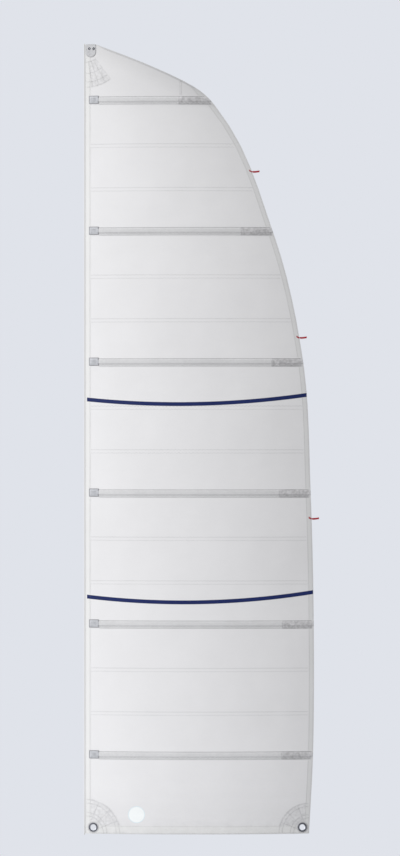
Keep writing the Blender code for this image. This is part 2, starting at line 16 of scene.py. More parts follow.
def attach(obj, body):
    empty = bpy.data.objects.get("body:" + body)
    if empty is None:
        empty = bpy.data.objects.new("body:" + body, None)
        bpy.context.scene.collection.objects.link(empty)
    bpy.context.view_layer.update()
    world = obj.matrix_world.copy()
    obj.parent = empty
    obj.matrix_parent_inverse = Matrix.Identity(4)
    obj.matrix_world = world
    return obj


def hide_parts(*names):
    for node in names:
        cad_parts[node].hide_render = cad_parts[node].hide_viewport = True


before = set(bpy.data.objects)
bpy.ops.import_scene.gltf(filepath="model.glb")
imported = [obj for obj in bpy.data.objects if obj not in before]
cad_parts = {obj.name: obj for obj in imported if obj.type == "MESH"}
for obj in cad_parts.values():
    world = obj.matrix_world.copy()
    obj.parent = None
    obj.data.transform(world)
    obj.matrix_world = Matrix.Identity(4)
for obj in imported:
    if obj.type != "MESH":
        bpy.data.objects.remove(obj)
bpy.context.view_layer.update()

# The CAD's plan, again
FIRST_BATTEN = 0.753
BATTEN_PITCH = 1.256
HEAD_RISE = 0.537
CORNER_RISE = 0.129
FOOT_CHORD = 2.155
BATTEN_CHORDS = (2.193, 2.200, 2.171, 2.100, 1.809, 1.214)
CORNER_CHORD = 1.057
HEAD_EDGE_CHORD = 0.636
HEAD_CHORD = 0.12
FOOT_CAMBER = 0.064
BELLY_CAMBER = 0.068
TWIST = math.radians(4)
FOOT_LEVEL = 0.34
BATTEN_LEVEL = 0.055
CLOTH = 0.0003
LAYER_GAP = 0.0004
STARBOARD_GAP = 0.00095
EDGE_GAP = 0.0003
LAP = 0.040
SEAM_DROP = 0.015
LAP_RAMP = 0.12
PANEL_FRONT = 0.0125
LUFF_TAPE = 0.058
LEECH_TAPE = 0.050
HEAD_TAPE = 0.018
FOOT_TAPE = 0.080
ROPE_RADIUS = 0.004
ROPE_PLAY = 0.0005
ROPE_TAIL = 0.012
POCKET_WIDTH = 0.078
LUFF_END_FRONT = 0.045
LUFF_END_LENGTH = 0.095
LUFF_END_WIDTH = 0.078
LUFF_END_SKIN = 0.0018
BATTEN_RISE = 0.0085
CAP_INSET = 0.0005
CAP_LENGTH = 0.009
CAP_WALL = 0.0014
CAP_PLAY = 0.0003
BATTEN_WIDTH = 0.022
BATTEN_THICKNESS = 0.004
BATTEN_PLAY = 0.0008
RING_HEIGHT = 0.062
RING_RIM = 0.044
TACK_RING_X = 0.0845
CLEW_RING_INSET = 0.065
TACK_PATCH = 0.340
CLEW_PATCH = 0.302
HEAD_PATCH = 0.415
HEAD_PATCH_START = 0.145
HEAD_PATCH_TURN = 37
ROACH_PATCH_FRONT = 0.917
HEADBOARD_FRONT = 0.012
HEADBOARD_WIDTH = 0.100
HEADBOARD_HEIGHT = 0.120
HEADBOARD_PROUD = 0.006
HEADBOARD_PLATE = 0.0025
HEADBOARD_FOOT_ROUND = 0.046
BOARD_GAP = 0.0009
EYE_FORE = 0.049
EYE_SPACING = 0.0435
EYE_DROP = 0.037
STRIPE_WIDTH = 0.037
STRIPE_FRONT = 0.025
STRIPE_INSET = 0.004
STRIPES = {"lower": (2, 0.266, 0.044, 0.072), "upper": (4, -0.354, 0.043, 0.065)}
TELLTALES = {"low": (3, -0.242), "mid": (4, 0.237), "high": (5, 0.572)}
TELLTALE_LENGTH = 0.070
TELLTALE_WIDTH = 0.017
TELLTALE_SAG = 0.003
TELLTALE_LIFT = 0.0045
TELLTALE_GAP = 0.0009
TELLTALE_GATHER = 0.009
TAB_INSET = 0.0145
TAB_RISE = 0.005
TAB_SLOPE = 0.5

LAP_DEPTH = CLOTH + LAYER_GAP
TAPE_DEPTH = LAP_DEPTH + CLOTH + LAYER_GAP
FLANGE_DEPTH = TAPE_DEPTH + 2 * CLOTH
STARBOARD_DEPTH = -(CLOTH + STARBOARD_GAP)
BATTEN_DEPTH = FLANGE_DEPTH + BATTEN_THICKNESS / 2
HAT_DEPTH = BATTEN_DEPTH + BATTEN_THICKNESS / 2 + BATTEN_PLAY + CLOTH / 2
FOLD = CLOTH / 2 + EDGE_GAP
ON_CLOTH = CLOTH / 2 + 0.0001  # what lies on a cloth, counted from the cloth's middle
FITTING_BASE = FLANGE_DEPTH - CLOTH / 2  # what luff ends and caps stand on
PORT_BASE = TAPE_DEPTH + CLOTH / 2 + LAYER_GAP  # what rings and plates lie on
STARBOARD_BASE = STARBOARD_DEPTH - CLOTH / 2 - BOARD_GAP

# The cloths shown here lie closer together than the solids' layers
NEAR_LAP = 0.00045
NEAR_TAPE = 0.0009
NEAR_BACK = -0.0009
NEAR_FLANGE = 0.0014

BATTEN_HEIGHTS = FIRST_BATTEN + BATTEN_PITCH * np.arange(6)
TOP_BATTEN = float(BATTEN_HEIGHTS[-1])
HEAD = TOP_BATTEN + HEAD_RISE
CORNER = TOP_BATTEN + CORNER_RISE
SEAMS = FIRST_BATTEN - SEAM_DROP + BATTEN_PITCH / 3 * np.arange(16)
LEVEL_STOPS = [0, FOOT_LEVEL]
LEVELS = [0, 0]
for height in BATTEN_HEIGHTS:
    LEVEL_STOPS += [height - BATTEN_LEVEL, height + BATTEN_LEVEL]
    LEVELS += [height, height]
PLAN_HEIGHTS = np.array([0, *BATTEN_HEIGHTS, CORNER, (CORNER + HEAD) / 2, HEAD])
PLAN_CHORDS = np.array([FOOT_CHORD, *BATTEN_CHORDS, CORNER_CHORD, HEAD_EDGE_CHORD, HEAD_CHORD])

# Looks
ROW_STEP = 0.022
TOP_ROW_STEP = 0.012
COLUMN_STEP = 0.032
POCKET_STEP = 0.024
RING_STEPS = np.arange(-0.048, 0.049, 0.012)  # finer columns round each ring
ARC_RUN = 1 + 8 / 3 * 0.06**2  # length of the cloth's arc over its chord
BILLOW = 0.004  # how much fuller the cloth is halfway between two battens
CREASES = (0.0006, 0.00022)  # depths of the long and the short ones
FOOT_CREASE = (0.158, 0.55, 0.0014)  # its top, where that is along the foot, and its depth
RING_HOLE = 0.036
EYE_HOLE = 0.009
EYE_BORE = 0.0067
END_PATCH = (0.307, 0.017)  # the reinforcement at a pocket's end, counted from the leech
PATCH_STEP = 0.011
PATCH_THICK = 0.00014
PATCH_LAYERS = ((TACK_PATCH, CLEW_PATCH, 0.00033), (0.205, 0.180, 0.00055))  # and their depth
PATCH_BACK = -0.00035
HEAD_PATCH_DEPTH = 0.00036
ROACH_DEPTH = 0.0007
STRIPE_DEPTH = 0.0009
# how far the darker cloth under the port plate shows below it, as the plate's painted shadow
BOARD_SHADOW_PROUD = 0.007
STICKER = (0.501, 0.187, 0.081)  # x, z and radius of the blank disc
ROPE_LAY = 0.030
ROPE_BARE = 0.075  # the strands are made over this length at both ends
GROOVE = 0.0011

# Stitches: length and half width of one zig and zag, and the thread's width
THREAD_HIGH = 0.0004
FINE = (0.024, 0.0030, 0.0011)
WIDE = (0.034, 0.0045, 0.0014)
SEWN = (0.011, 0.0030, 0.0011)
BOLD = (0.034, 0.0042, 0.0018)
EDGE = (0.026, 0.0022, 0.0018)
SIDES = {"port": 1, "starboard": -1}
SEAM_ROWS = (-0.016, 0.016)
LUFF_ROWS = (0.052, 0.013)
FOOT_ROWS = (0.074, 0.010)
POCKET_ROWS = ((0.0362, EDGE), (-0.0208, BOLD), (-0.0345, FINE))
END_ROWS = ((0.0362, EDGE), (-0.0208, BOLD), (-0.0290, BOLD), (-0.0358, EDGE))
RING_ROW = 0.0505
ROACH_ROWS = (0.006, 0.020)
LEECH_ROWS = (0.006, 0.009)  # off the tape's inner edge, and off the leech
ROW_END = 0.006  # how far a row stops short of its cloth's end

# The photograph: its size and its point at the foot of the bolt rope in pixels, and their size
PHOTO_SIZE = (400, 856)
PHOTO_FOOT = (84.5, 833.5)
PIXEL = 0.0096


def filled(stops, step):
    """The stops in order, with even ones between, so that none are further apart than step."""
    stops = sorted(set(np.round(stops, 6)))
    out = [stops[0]]
    for low, high in zip(stops, stops[1:]):
        parts = math.ceil((high - low) / step - 1e-9)
        out += [low + (high - low) * k / parts for k in range(1, parts + 1)]
    return np.array(out)


def smooth(z):
    """The plan's edge: a curve through its chords, as steep at each as its two sides on average."""
    z = np.asarray(z, float)
    sides = np.diff(PLAN_CHORDS) / np.diff(PLAN_HEIGHTS)
    slopes = np.array([sides[0], *((sides[:-1] + sides[1:]) / 2), sides[-1]])
    i = np.clip(np.searchsorted(PLAN_HEIGHTS, z) - 1, 0, len(sides) - 1)
    span = PLAN_HEIGHTS[i + 1] - PLAN_HEIGHTS[i]
    t = (z - PLAN_HEIGHTS[i]) / span
    return (
        (2 * t**3 - 3 * t**2 + 1) * PLAN_CHORDS[i]
        + (t**3 - 2 * t**2 + t) * span * slopes[i]
        + (3 * t**2 - 2 * t**3) * PLAN_CHORDS[i + 1]
        + (t**3 - t**2) * span * slopes[i + 1]
    )


# The CAD's rows of points, which the leech runs straight between, and the finer rows used here
LAP_EDGES = [seam + side * LAP / 2 for seam in SEAMS for side in (-1, 1)]
CAD_TOP = filled([TOP_BATTEN + BATTEN_LEVEL, CORNER, HEAD], 0.06)
HEIGHTS = filled([0, *LEVEL_STOPS, *LAP_EDGES, *CAD_TOP], 0.20)
LEECH = smooth(HEIGHTS)
ROWS = filled([*HEIGHTS, *np.arange(RING_HEIGHT - 0.06, RING_HEIGHT + 0.061, 0.012)], ROW_STEP)
ROWS = np.array(sorted({*ROWS, *filled([CORNER - 0.06, CORNER, HEAD], TOP_ROW_STEP).round(6)}))


def leech(z):
    return np.interp(z, HEIGHTS, LEECH)


def rake(z, step=0.01):
    """How much further it is along the chord than square to the plan's edge, at height z."""
    return np.hypot(1, (smooth(z + step) - smooth(z - step)) / (2 * step))


BOARD_BACK = HEADBOARD_FRONT + HEADBOARD_WIDTH + EDGE_GAP
TAPE_WIDTHS = np.interp(HEIGHTS, (TOP_BATTEN + BATTEN_LEVEL, CORNER), (LEECH_TAPE, HEAD_TAPE))
TAPE_LINE = np.maximum(LEECH - TAPE_WIDTHS * rake(HEIGHTS), BOARD_BACK)


def tape_line(z):
    """x of the leech tape's inner edge."""
    return np.interp(z, HEIGHTS, TAPE_LINE)


def section(z):
    """Half the chord, radius, centre's distance from the chord and twist of the arc at height z."""
    level = np.interp(z, LEVEL_STOPS, LEVELS)
    chord = leech(level)
    rise = level / TOP_BATTEN
    camber = FOOT_CAMBER + (BELLY_CAMBER - FOOT_CAMBER) * np.sin(np.pi * rise)
    deep = chord * camber
    radius = chord**2 / (8 * deep) + deep / 2
    return chord / 2, radius, radius - deep, TWIST * rise


def eased(t):
    t = np.clip(t, 0, 1)
    return t * t * (3 - 2 * t)


def waves(x, z):
    """Depth of the cloth's billow and of its faint creases. Both die out at battens and edges."""
    gap = np.min(np.abs(z[..., None] - BATTEN_HEIGHTS), axis=-1)
    chord = leech(z)
    calm = eased((gap - 0.05) / 0.30)
    calm *= eased((x - 0.07) / 0.25) * eased((tape_line(z) - x) / 0.20)
    calm *= eased(z / 0.30) * eased((HEAD - 0.10 - z) / 0.35)
    phase = (z - FIRST_BATTEN) / BATTEN_PITCH
    fuller = BILLOW * np.sin(np.pi * x / chord) * np.sin(np.pi * phase) ** 2
    long_crease = np.sin(2 * np.pi * (x / 0.83 + 0.55 * z + 0.13 * np.sin(2.3 * z)))
    short_crease = np.sin(2 * np.pi * (x / 0.31 - 1.1 * z + 0.2 * np.sin(3.1 * x + 1.7 * z)))
    top, middle, deep = FOOT_CREASE
    line = top - 0.10 * ((x - middle) / 1.1) ** 2
    crease = deep * np.exp(-(((z - line) / 0.028) ** 2)) * eased((x - 0.10) / 0.35)
    crease *= eased((1.75 - x) / 0.5) * eased((z - 0.01) / 0.05)
    return calm * (fuller + CREASES[0] * long_crease + CREASES[1] * short_crease) + crease


def lay(x, z, depth):
    """Points of the sail over chord positions x at heights z, depths off the cloth to port."""
    x, z, depth = np.broadcast_arrays(*(np.asarray(a, float) for a in (x, z, depth)))
    half, radius, centre, twist = section(z)
    depth = depth + waves(x, z)
    across = (x - half) / radius
    off = np.sqrt(1 - across**2)
    flat_x = x + depth * across
    flat_y = centre - (radius + depth) * off
    c, s = np.cos(twist), np.sin(twist)
    return np.stack([c * flat_x + s * flat_y, c * flat_y - s * flat_x, z], axis=-1)


def seat(x, z):
    """The frame of a rigid piece there: X aft along the cloth, Y up, Z off the cloth to port."""
    half, radius, _, twist = section(z)
    turn = math.asin((x - half) / radius) - twist
    place = Matrix.Translation(Vector(lay(x, z, 0))) @ Matrix.Rotation(turn, 4, "Z")
    return place @ Matrix.Rotation(math.pi / 2, 4, "X")


CLEW_RING_X = float(leech(0)) - CLEW_RING_INSET
RINGS = {"tack": TACK_RING_X, "clew": CLEW_RING_X}
RING_HOLES = [(x, RING_HEIGHT, RING_HOLE) for x in RINGS.values()]
EYES = {"fore": EYE_FORE, "aft": EYE_FORE + EYE_SPACING}
EYE_HOLES = [(x, HEAD - EYE_DROP, EYE_HOLE) for x in EYES.values()]


# ---- Materials ----


def node(tree, kind, inputs=None, **settings):
    """A new shader node. An input given as a socket is linked, and any other is set."""
    made = tree.nodes.new("ShaderNode" + kind)
    for key, value in settings.items():
        setattr(made, key, value)
    for key, value in (inputs or {}).items():
        if isinstance(value, bpy.types.NodeSocket):
            tree.links.new(value, made.inputs[key])
        else:
            made.inputs[key].default_value = value
    return made


def blank(name, **sockets):
    """A material, its tree, its shader and the row frame's coordinates."""
    made = bpy.data.materials.new(name)
    made.use_nodes = True
    tree = made.node_tree
    shader = tree.nodes["Principled BSDF"]
    for key, value in sockets.items():
        shader.inputs[key.replace("_", " ")].default_value = value
    return made, tree, shader, node(tree, "TexCoord").outputs["Object"]


def stretched(tree, at, scale):
    return node(tree, "Mapping", {"Vector": at, "Scale": scale}).outputs["Vector"]


def noise(tree, at, scale, detail=3.0, rough=0.5):
    inputs = {"Vector": at, "Scale": scale, "Detail": detail, "Roughness": rough}
    return node(tree, "TexNoise", inputs).outputs["Fac"]


def ramp(tree, factor, stops):
    """Colours over a factor: stops are (position, colour)."""
    made = node(tree, "ValToRGB", {"Fac": factor})
    elements = made.color_ramp.elements
    while len(elements) < len(stops):
        elements.new(0.5)
    for element, (position, colour) in zip(elements, stops):
        element.position = position
        element.color = (*colour, 1)
    return made.outputs["Color"]


def shades(colour, low, high):
    """Two shades of one colour for a ramp, over the middle of a noise."""
    return [(0.32, [low * c for c in colour]), (0.68, [high * c for c in colour])]


def times(tree, a, b):
    made = node(tree, "Mix", data_type="RGBA", blend_type="MULTIPLY")
    made.inputs["Factor"].default_value = 1.0
    tree.links.new(a, made.inputs[6])
    tree.links.new(b, made.inputs[7])
    return made.outputs[2]


def bands(tree, at, axis, period):
    """A wave along one axis, once for each period in metres."""
    inputs = {"Vector": at, "Scale": math.pi / 10 / period}
    return node(tree, "TexWave", inputs, bands_direction=axis).outputs["Fac"]


def bump(tree, height, distance, strength, normal=None):
    inputs = {"Height": height, "Distance": distance, "Strength": strength}
    if normal:
        inputs["Normal"] = normal
    return node(tree, "Bump", inputs).outputs["Normal"]


def maths(tree, operation, a, b):
    return node(tree, "Math", {0: a, 1: b}, operation=operation).outputs[0]


def share_of(tree, value, low, high):
    """How far a value is from low to high, from 0 to 1."""
    limits = {"Value": value, "From Min": low, "From Max": high}
    return node(tree, "MapRange", limits).outputs[0]


def fabric(
    name, colour, period=0.0006, weave=0.0002, crease=0.0, spread=0.02, soiled=0.0, speckle=0.0,
    dark_foot_and_head_shade=False, **sockets,
):
    """Woven cloth: threads along x and z, uneven shades, creases, specks, and soiling low down.
    Where its ends are darkened, it is darker towards the foot, with painted shade at the head and
    its edge."""
    settings = {"Roughness": 0.6, "Sheen_Weight": 0.08, "Sheen_Roughness": 0.4, **sockets}
    made, tree, shader, at = blank(name, **settings)
    tone = ramp(tree, noise(tree, at, 2.6, 5.0, 0.6), shades(colour, 1 - spread, 1 + spread / 2))
    fleck = ramp(tree, noise(tree, at, 210.0, 2.0), shades((1, 1, 1), 0.97, 1.0))
    tone = times(tree, tone, fleck)
    height = node(tree, "SeparateXYZ", {"Vector": at}).outputs["Z"]
    if speckle:
        spots = shades((1, 1, 1), 1 - speckle, 1 + speckle / 3)
        tone = times(tree, tone, ramp(tree, noise(tree, at, 45.0, 2.0), spots))
    # Darker towards the foot, and painted shade towards the head and along the head's edge
    if dark_foot_and_head_shade:
        stops = [(z / HEAD, (k, k, k)) for z, k in FOOT_DARKENING_AND_HEAD_SHADE]
        tone = times(tree, tone, ramp(tree, share_of(tree, height, 0.0, HEAD), stops))
        slant = {0: at, 1: (HEAD_SLOPE, 0, 1)}
        edge = node(tree, "VectorMath", slant, operation="DOT_PRODUCT").outputs["Value"]
        start, end, last = HEAD_SHADE
        share = share_of(tree, edge, HEAD + start, HEAD + end)
        tone = times(tree, tone, ramp(tree, share, [(0, (1, 1, 1)), (1, (last, last, last))]))
    if soiled:
        low = share_of(tree, height, SOIL_TOP, 0.0)
        smear = maths(tree, "MULTIPLY", low, noise(tree, at, 14.0, 4.0, 0.65))
        dirt = [(0.25, (1, 1, 1)), (0.60, (1 - soiled,) * 3)]
        tone = times(tree, tone, ramp(tree, smear, dirt))
    tree.links.new(tone, shader.inputs["Base Color"])
    normal = None
    if crease:
        folds = noise(tree, stretched(tree, at, (1.6, 1.6, 4.5)), 1.0, 4.0, 0.5)
        normal = bump(tree, folds, crease, 0.5)
    warp, weft = bands(tree, at, "X", period), bands(tree, at, "Z", period)
    threads = maths(tree, "MAXIMUM", warp, weft)
    normal = bump(tree, threads, weave, 0.35, normal)
    tree.links.new(normal, shader.inputs["Normal"])
    return made


def rubbed(tree, shader, factor, low, high, roughness):
    """Roughness that varies round its mean over the middle of a noise."""
    grey = ramp(tree, factor, [(low, [roughness - 0.08] * 3), (high, [roughness + 0.10] * 3)])
    tree.links.new(grey, shader.inputs["Roughness"])


def plastic(name, colour, roughness, worn=0.10):
    """Moulded plastic: a fine grain, uneven fading and rubbed patches."""
    made, tree, shader, at = blank(name, Roughness=roughness)
    tone = ramp(tree, noise(tree, at, 38.0, 4.0, 0.6), shades(colour, 1 - worn, 1 + worn))
    tree.links.new(tone, shader.inputs["Base Color"])
    rubbed(tree, shader, noise(tree, at, 120.0, 3.0), 0.35, 0.65, roughness)
    tree.links.new(bump(tree, noise(tree, at, 900.0, 2.0), 0.0003, 0.3), shader.inputs["Normal"])
    return made


def metal(name, colour, roughness, along, metallic=1.0, marks=0.2):
    """Brushed or turned metal: fine scratches drawn out along one axis, and dull spots."""
    made, tree, shader, at = blank(name, Roughness=roughness, Metallic=metallic)
    scratches = noise(tree, stretched(tree, at, along), 60.0, 5.0, 0.7)
    dull = noise(tree, at, 55.0, 4.0, 0.6)
    tone = times(
        tree,
        ramp(tree, scratches, shades(colour, 0.92, 1.05)),
        ramp(tree, dull, [(0.35, (1 - marks,) * 3), (0.55, (1, 1, 1))]),
    )
    tree.links.new(tone, shader.inputs["Base Color"])
    rubbed(tree, shader, scratches, 0.3, 0.7, roughness)
    tree.links.new(bump(tree, scratches, 0.0002, 0.2), shader.inputs["Normal"])
    return made


def glass_fibre():
    """Pultruded glass fibre: pale green-grey resin with fibres along the batten."""
    made, tree, shader, at = blank("batten_glass_fibre", Roughness=0.3, Coat_Weight=0.3)
    fibres = noise(tree, stretched(tree, at, (4.0, 40.0, 260.0)), 3.0, 5.0, 0.7)
    tone = ramp(tree, fibres, [(0.3, (0.50, 0.54, 0.47)), (0.7, (0.70, 0.73, 0.66))])
    tree.links.new(tone, shader.inputs["Base Color"])
    tree.links.new(bump(tree, fibres, 0.0002, 0.3), shader.inputs["Normal"])
    return made


SOIL_TOP = 0.30
HEAD_SLOPE = 0.42  # how fast the head's edge falls
HEAD_SHADE = (-0.13, 0.05, 0.91)  # start and end of its shade off that edge, and the share left
# Darker towards the foot; towards the head and its edge this is painted shade
FOOT_DARKENING_AND_HEAD_SHADE = (  # heights, and the share of the cloth's brightness that is left there
    (0, 0.93), (0.2, 0.95), (0.45, 1.0), (6.2, 1.0), (6.9, 0.975), (7.3, 0.93), (HEAD, 0.90),
)
SAILCLOTH = fabric(
    "woven_sailcloth", (0.822, 0.8185, 0.832), 0.0007, 0.0002, 0.006, soiled=0.06, dark_foot_and_head_shade=True
)
SLEEVE = fabric("luff_cloth", (0.83, 0.83, 0.83), soiled=0.08, dark_foot_and_head_shade=True, Roughness=0.7)
HEM = fabric("hem_cloth", (0.76, 0.76, 0.765), soiled=0.05, dark_foot_and_head_shade=True, Roughness=0.7)
# The hem above the corner is darker: painted shade along the folded head edge
HEAD_HEM_SHADE = fabric("head_hem_painted_shade", (0.60, 0.60, 0.61), Roughness=0.7)
POCKET = fabric(
    "pocket_webbing", (0.69, 0.69, 0.702), 0.0014, 0.0004, spread=0.05, speckle=0.05,
    Roughness=0.75,
)
END_CLOTH = fabric(
    "pocket_end_cloth", (0.635, 0.63, 0.645), 0.0018, 0.0005, spread=0.10, speckle=0.26,
    Roughness=0.8,
)
PATCH = fabric(
    "patch_cloth_look", (0.80, 0.797, 0.81), 0.0007, 0.0002, spread=0.05, soiled=0.08,
    speckle=0.13, dark_foot_and_head_shade=True,
)
# Grey cloth round the rings: painted shade
RING_HALO_SHADE = fabric("ring_halo_painted_shade", (0.60, 0.60, 0.615), 0.0014, 0.0004, spread=0.10, Roughness=0.8)
STRIPE = fabric(
    "navy_stripe_tape", (0.010, 0.020, 0.104), 0.0005, 0.0001, spread=0.15, Roughness=0.5,
    Sheen_Weight=0.0, Specular_IOR_Level=0.2,
)
RIBBON = fabric("red_ribbon_cloth", (0.41, 0.023, 0.036), 0.0008, 0.0003, spread=0.15)
DISC = fabric(
    "blank_sticker", (0.92, 0.95, 0.955), 0.0007, 0.00005, Roughness=0.4, Sheen_Weight=0.0
)
DISC_RIM = fabric("sticker_rim", (0.72, 0.82, 0.87), 0.0007, 0.00005, Roughness=0.4)
# Grey threads, for their dirt and partly as painted shade in their stitches; the pocket rows darker
SEAM_THREAD_DIRT_AND_SHADE = fabric("seam_thread_dirt_and_shade", (0.40, 0.40, 0.41), weave=0.0003, spread=0.2)
POCKET_THREAD_DIRT_AND_SHADE = fabric("pocket_thread_dirt_and_shade", (0.27, 0.27, 0.28), weave=0.0003, spread=0.2)
ROPE = fabric("rope_yarn", (0.70, 0.69, 0.65), 0.0009, 0.0004, spread=0.10, Roughness=0.85)
END_PLASTIC = plastic("grey_end_plastic", (0.50, 0.51, 0.54), 0.45)
END_RIM = plastic("dark_end_rim", (0.30, 0.30, 0.32), 0.5)
CAP_PLASTIC = plastic("cap_plastic_look", (0.62, 0.62, 0.64), 0.45)
BRIGHT_STEEL = metal("bright_steel", (0.55, 0.56, 0.60), 0.4, (1, 1, 6))
# The rings' rims: darker steel, as painted shade
RING_RIM_SHADE_STEEL = metal("ring_rim_painted_shade", (0.12, 0.123, 0.14), 0.5, (1, 1, 6), marks=0.35)
EYE_METAL = metal("dark_eye_metal", (0.055, 0.055, 0.065), 0.5, (1, 1, 6), marks=0.3)
BOARD = metal("anodised_board", (0.45, 0.45, 0.46), 0.5, (8, 8, 1), metallic=0.3)
# Darker cloth showing below the headboard's port plate: the plate's painted shadow
BOARD_SHADOW_CLOTH = fabric("board_edge_painted_shadow", (0.52, 0.52, 0.53), 0.0014, 0.0004, Roughness=0.8)
GLASS = glass_fibre()


# ---- Mesh building ----


def placed(name, data):
    """A new object in the scene."""
    made = bpy.data.objects.new(name, data)
    bpy.context.scene.collection.objects.link(made)
    return made


def quads(rows, columns, looped=False):
    """The faces of a grid of points, as indices. A looped grid also closes from its last column."""
    index = np.arange(rows * columns).reshape(rows, columns)
    if looped:
        index = np.hstack([index, index[:, :1]])
    sides = (index[:-1, :-1], index[:-1, 1:], index[1:, 1:], index[1:, :-1])
    return np.stack(sides, axis=-1).reshape(-1, 4)


def capped(rows, columns):
    """The faces of a body through rings of points, closed over its last and its first ring."""
    ring = list(range(columns))
    last = [(rows - 1) * columns + k for k in ring]
    return quads(rows, columns, looped=True).tolist() + [last, ring[::-1]]


def mesh_of(name, points, faces, sharp=None):
    """A mesh shaded smooth, but for edges sharper than the angle."""
    mesh = bpy.data.meshes.new(name)
    mesh.from_pydata(np.reshape(points, (-1, 3)).tolist(), [], [list(f) for f in faces])
    mesh.shade_smooth()
    if sharp:
        mesh.set_sharp_from_angle(angle=math.radians(sharp))
    return mesh


def piece(mesh, material, body="sail", stands_for="", slot=""):
    """An object named as its mesh that moves with a body, for a solid or beside them."""
    obj = placed(mesh.name, mesh)
    for look in material if isinstance(material, tuple) else (material,):
        mesh.materials.append(look)
    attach(obj, body)
    if stands_for:
        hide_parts(stands_for)
    return obj


def drilled(x, z, faces, holes):
    """Leaves out the faces inside each round hole and moves the points round it onto its edge."""
    x, z = x.copy(), z.copy()
    for cx, cz, radius in holes:
        off = np.hypot(x - cx, z - cz)
        inside = off < radius
        faces = faces[~inside.ravel()[faces].all(axis=1)]
        scale = radius / np.maximum(off, 1e-6)
        x = np.where(inside, cx + (x - cx) * scale, x)
        z = np.where(inside, cz + (z - cz) * scale, z)
    return x, z, faces


def cloth(name, x, z, depth, look, facts, holes=(), thick=CLOTH, **riding):
    """A sheet over the grid of flat points, with its thickness. Its facts are not used."""
    x, z, depth = np.broadcast_arrays(x, z, depth)
    x, z, faces = drilled(x, z, quads(*x.shape), holes)
    mesh = mesh_of(name, lay(x, z, depth), faces)
    bm = bmesh.new()
    bm.from_mesh(mesh)
    bmesh.ops.delete(bm, geom=[v for v in bm.verts if not v.link_faces], context="VERTS")
    for edge in bm.edges:
        edge.smooth = not edge.is_boundary
    bm.to_mesh(mesh)
    bm.free()
    obj = piece(mesh, look, **riding)
    solid = obj.modifiers.new("thickness", "SOLIDIFY")
    solid.thickness = thick
    solid.offset = 0
    return obj


def rounded(half_a, half_b, corner, count=6):
    """A rounded rectangle's outline round (0, 0), with count points in each corner."""
    parts = []
    for k, (sa, sb) in enumerate(((1, 1), (-1, 1), (-1, -1), (1, -1))):
        turn = np.linspace(0, math.pi / 2, count) + k * math.pi / 2
        a = sa * (half_a - corner) + corner * np.cos(turn)
        b = sb * (half_b - corner) + corner * np.sin(turn)
        parts.append(np.stack([a, b], axis=-1))
    return np.concatenate(parts)


def moulding(name, place, loops, count=6, at=(0, 0)):
    """A moulded body through rounded rectangles (half a, half b, corner, height)."""
    outlines = [rounded(a, b, corner, count) for a, b, corner, _ in loops]
    a = np.array([outline[:, 0] for outline in outlines])
    b = np.array([outline[:, 1] for outline in outlines])
    high = np.array([loop[3] for loop in loops])[:, None]
    return mesh_of(name, place(a + at[0], b + at[1], high), capped(*a.shape), 35)


def joined(name, meshes):
    """One mesh of several."""
    bm = bmesh.new()
    for mesh in meshes:
        bm.from_mesh(mesh)
        bpy.data.meshes.remove(mesh)
    made = bpy.data.meshes.new(name)
    bm.to_mesh(made)
    bm.free()
    made.shade_smooth()
    made.set_sharp_from_angle(angle=math.radians(35))
    return made


def turned(name, profile, matrix, steps=72):
    """A ring turned from a closed profile of (radius, height) in millimetres."""
    turn = np.linspace(0, 2 * math.pi, steps, endpoint=False)[:, None]
    r, h = np.array(profile).T / 1000
    points = np.stack([r * np.cos(turn), r * np.sin(turn), h + 0 * turn], axis=-1)
    faces = quads(steps + 1, len(r), looped=True) % (steps * len(r))
    mesh = mesh_of(name, points, faces[:, (0, 3, 2, 1)], 50)
    mesh.transform(matrix)
    return mesh


def rows_between(low, high):
    return np.array([low, *ROWS[(ROWS > low + 1e-4) & (ROWS < high - 1e-4)], high])


# ---- Cloth panels ----


def lapped(z, low):
    """Depth of a panel whose lower edge laps the one below it at height low."""
    return NEAR_LAP * np.clip(1 - (z - low - LAP) / LAP_RAMP, 0, 1)


def panels():
    edges = [LAP / 2, *SEAMS, HEAD - LAP / 2]
    for number, (below, above) in enumerate(zip(edges, edges[1:]), start=1):
        low, high = below - LAP / 2, above + LAP / 2
        z = rows_between(low, high)[:, None]
        reach = float(leech(z).max()) - PANEL_FRONT
        share = np.linspace(0, 1, round(reach / COLUMN_STEP))
        if number == 1:
            extra = [(x - PANEL_FRONT + dx) / reach for x in RINGS.values() for dx in RING_STEPS]
            share = np.array(sorted({*share, *extra}))
        x = PANEL_FRONT + share * (leech(z) - PANEL_FRONT)
        depth = lapped(z, low) if number > 1 else 0.0
        holes = RING_HOLES if number == 1 else EYE_HOLES if number == 17 else ()
        area = float(np.trapz((leech(z) - PANEL_FRONT)[:, 0], z[:, 0])) * ARC_RUN
        flat = (round(reach * ARC_RUN, 3), round(high - low, 3))
        facts = (flat, "stretched", ["batten_1"], round(min(area, flat[0] * flat[1]), 4))
        cloth(
            f"sail_panel_{number:02d}", x, z, depth, SAILCLOTH, facts, holes,
            stands_for=f"panel_{number:02d}", slot="sailcloth",
        )


# ---- Tapes ----


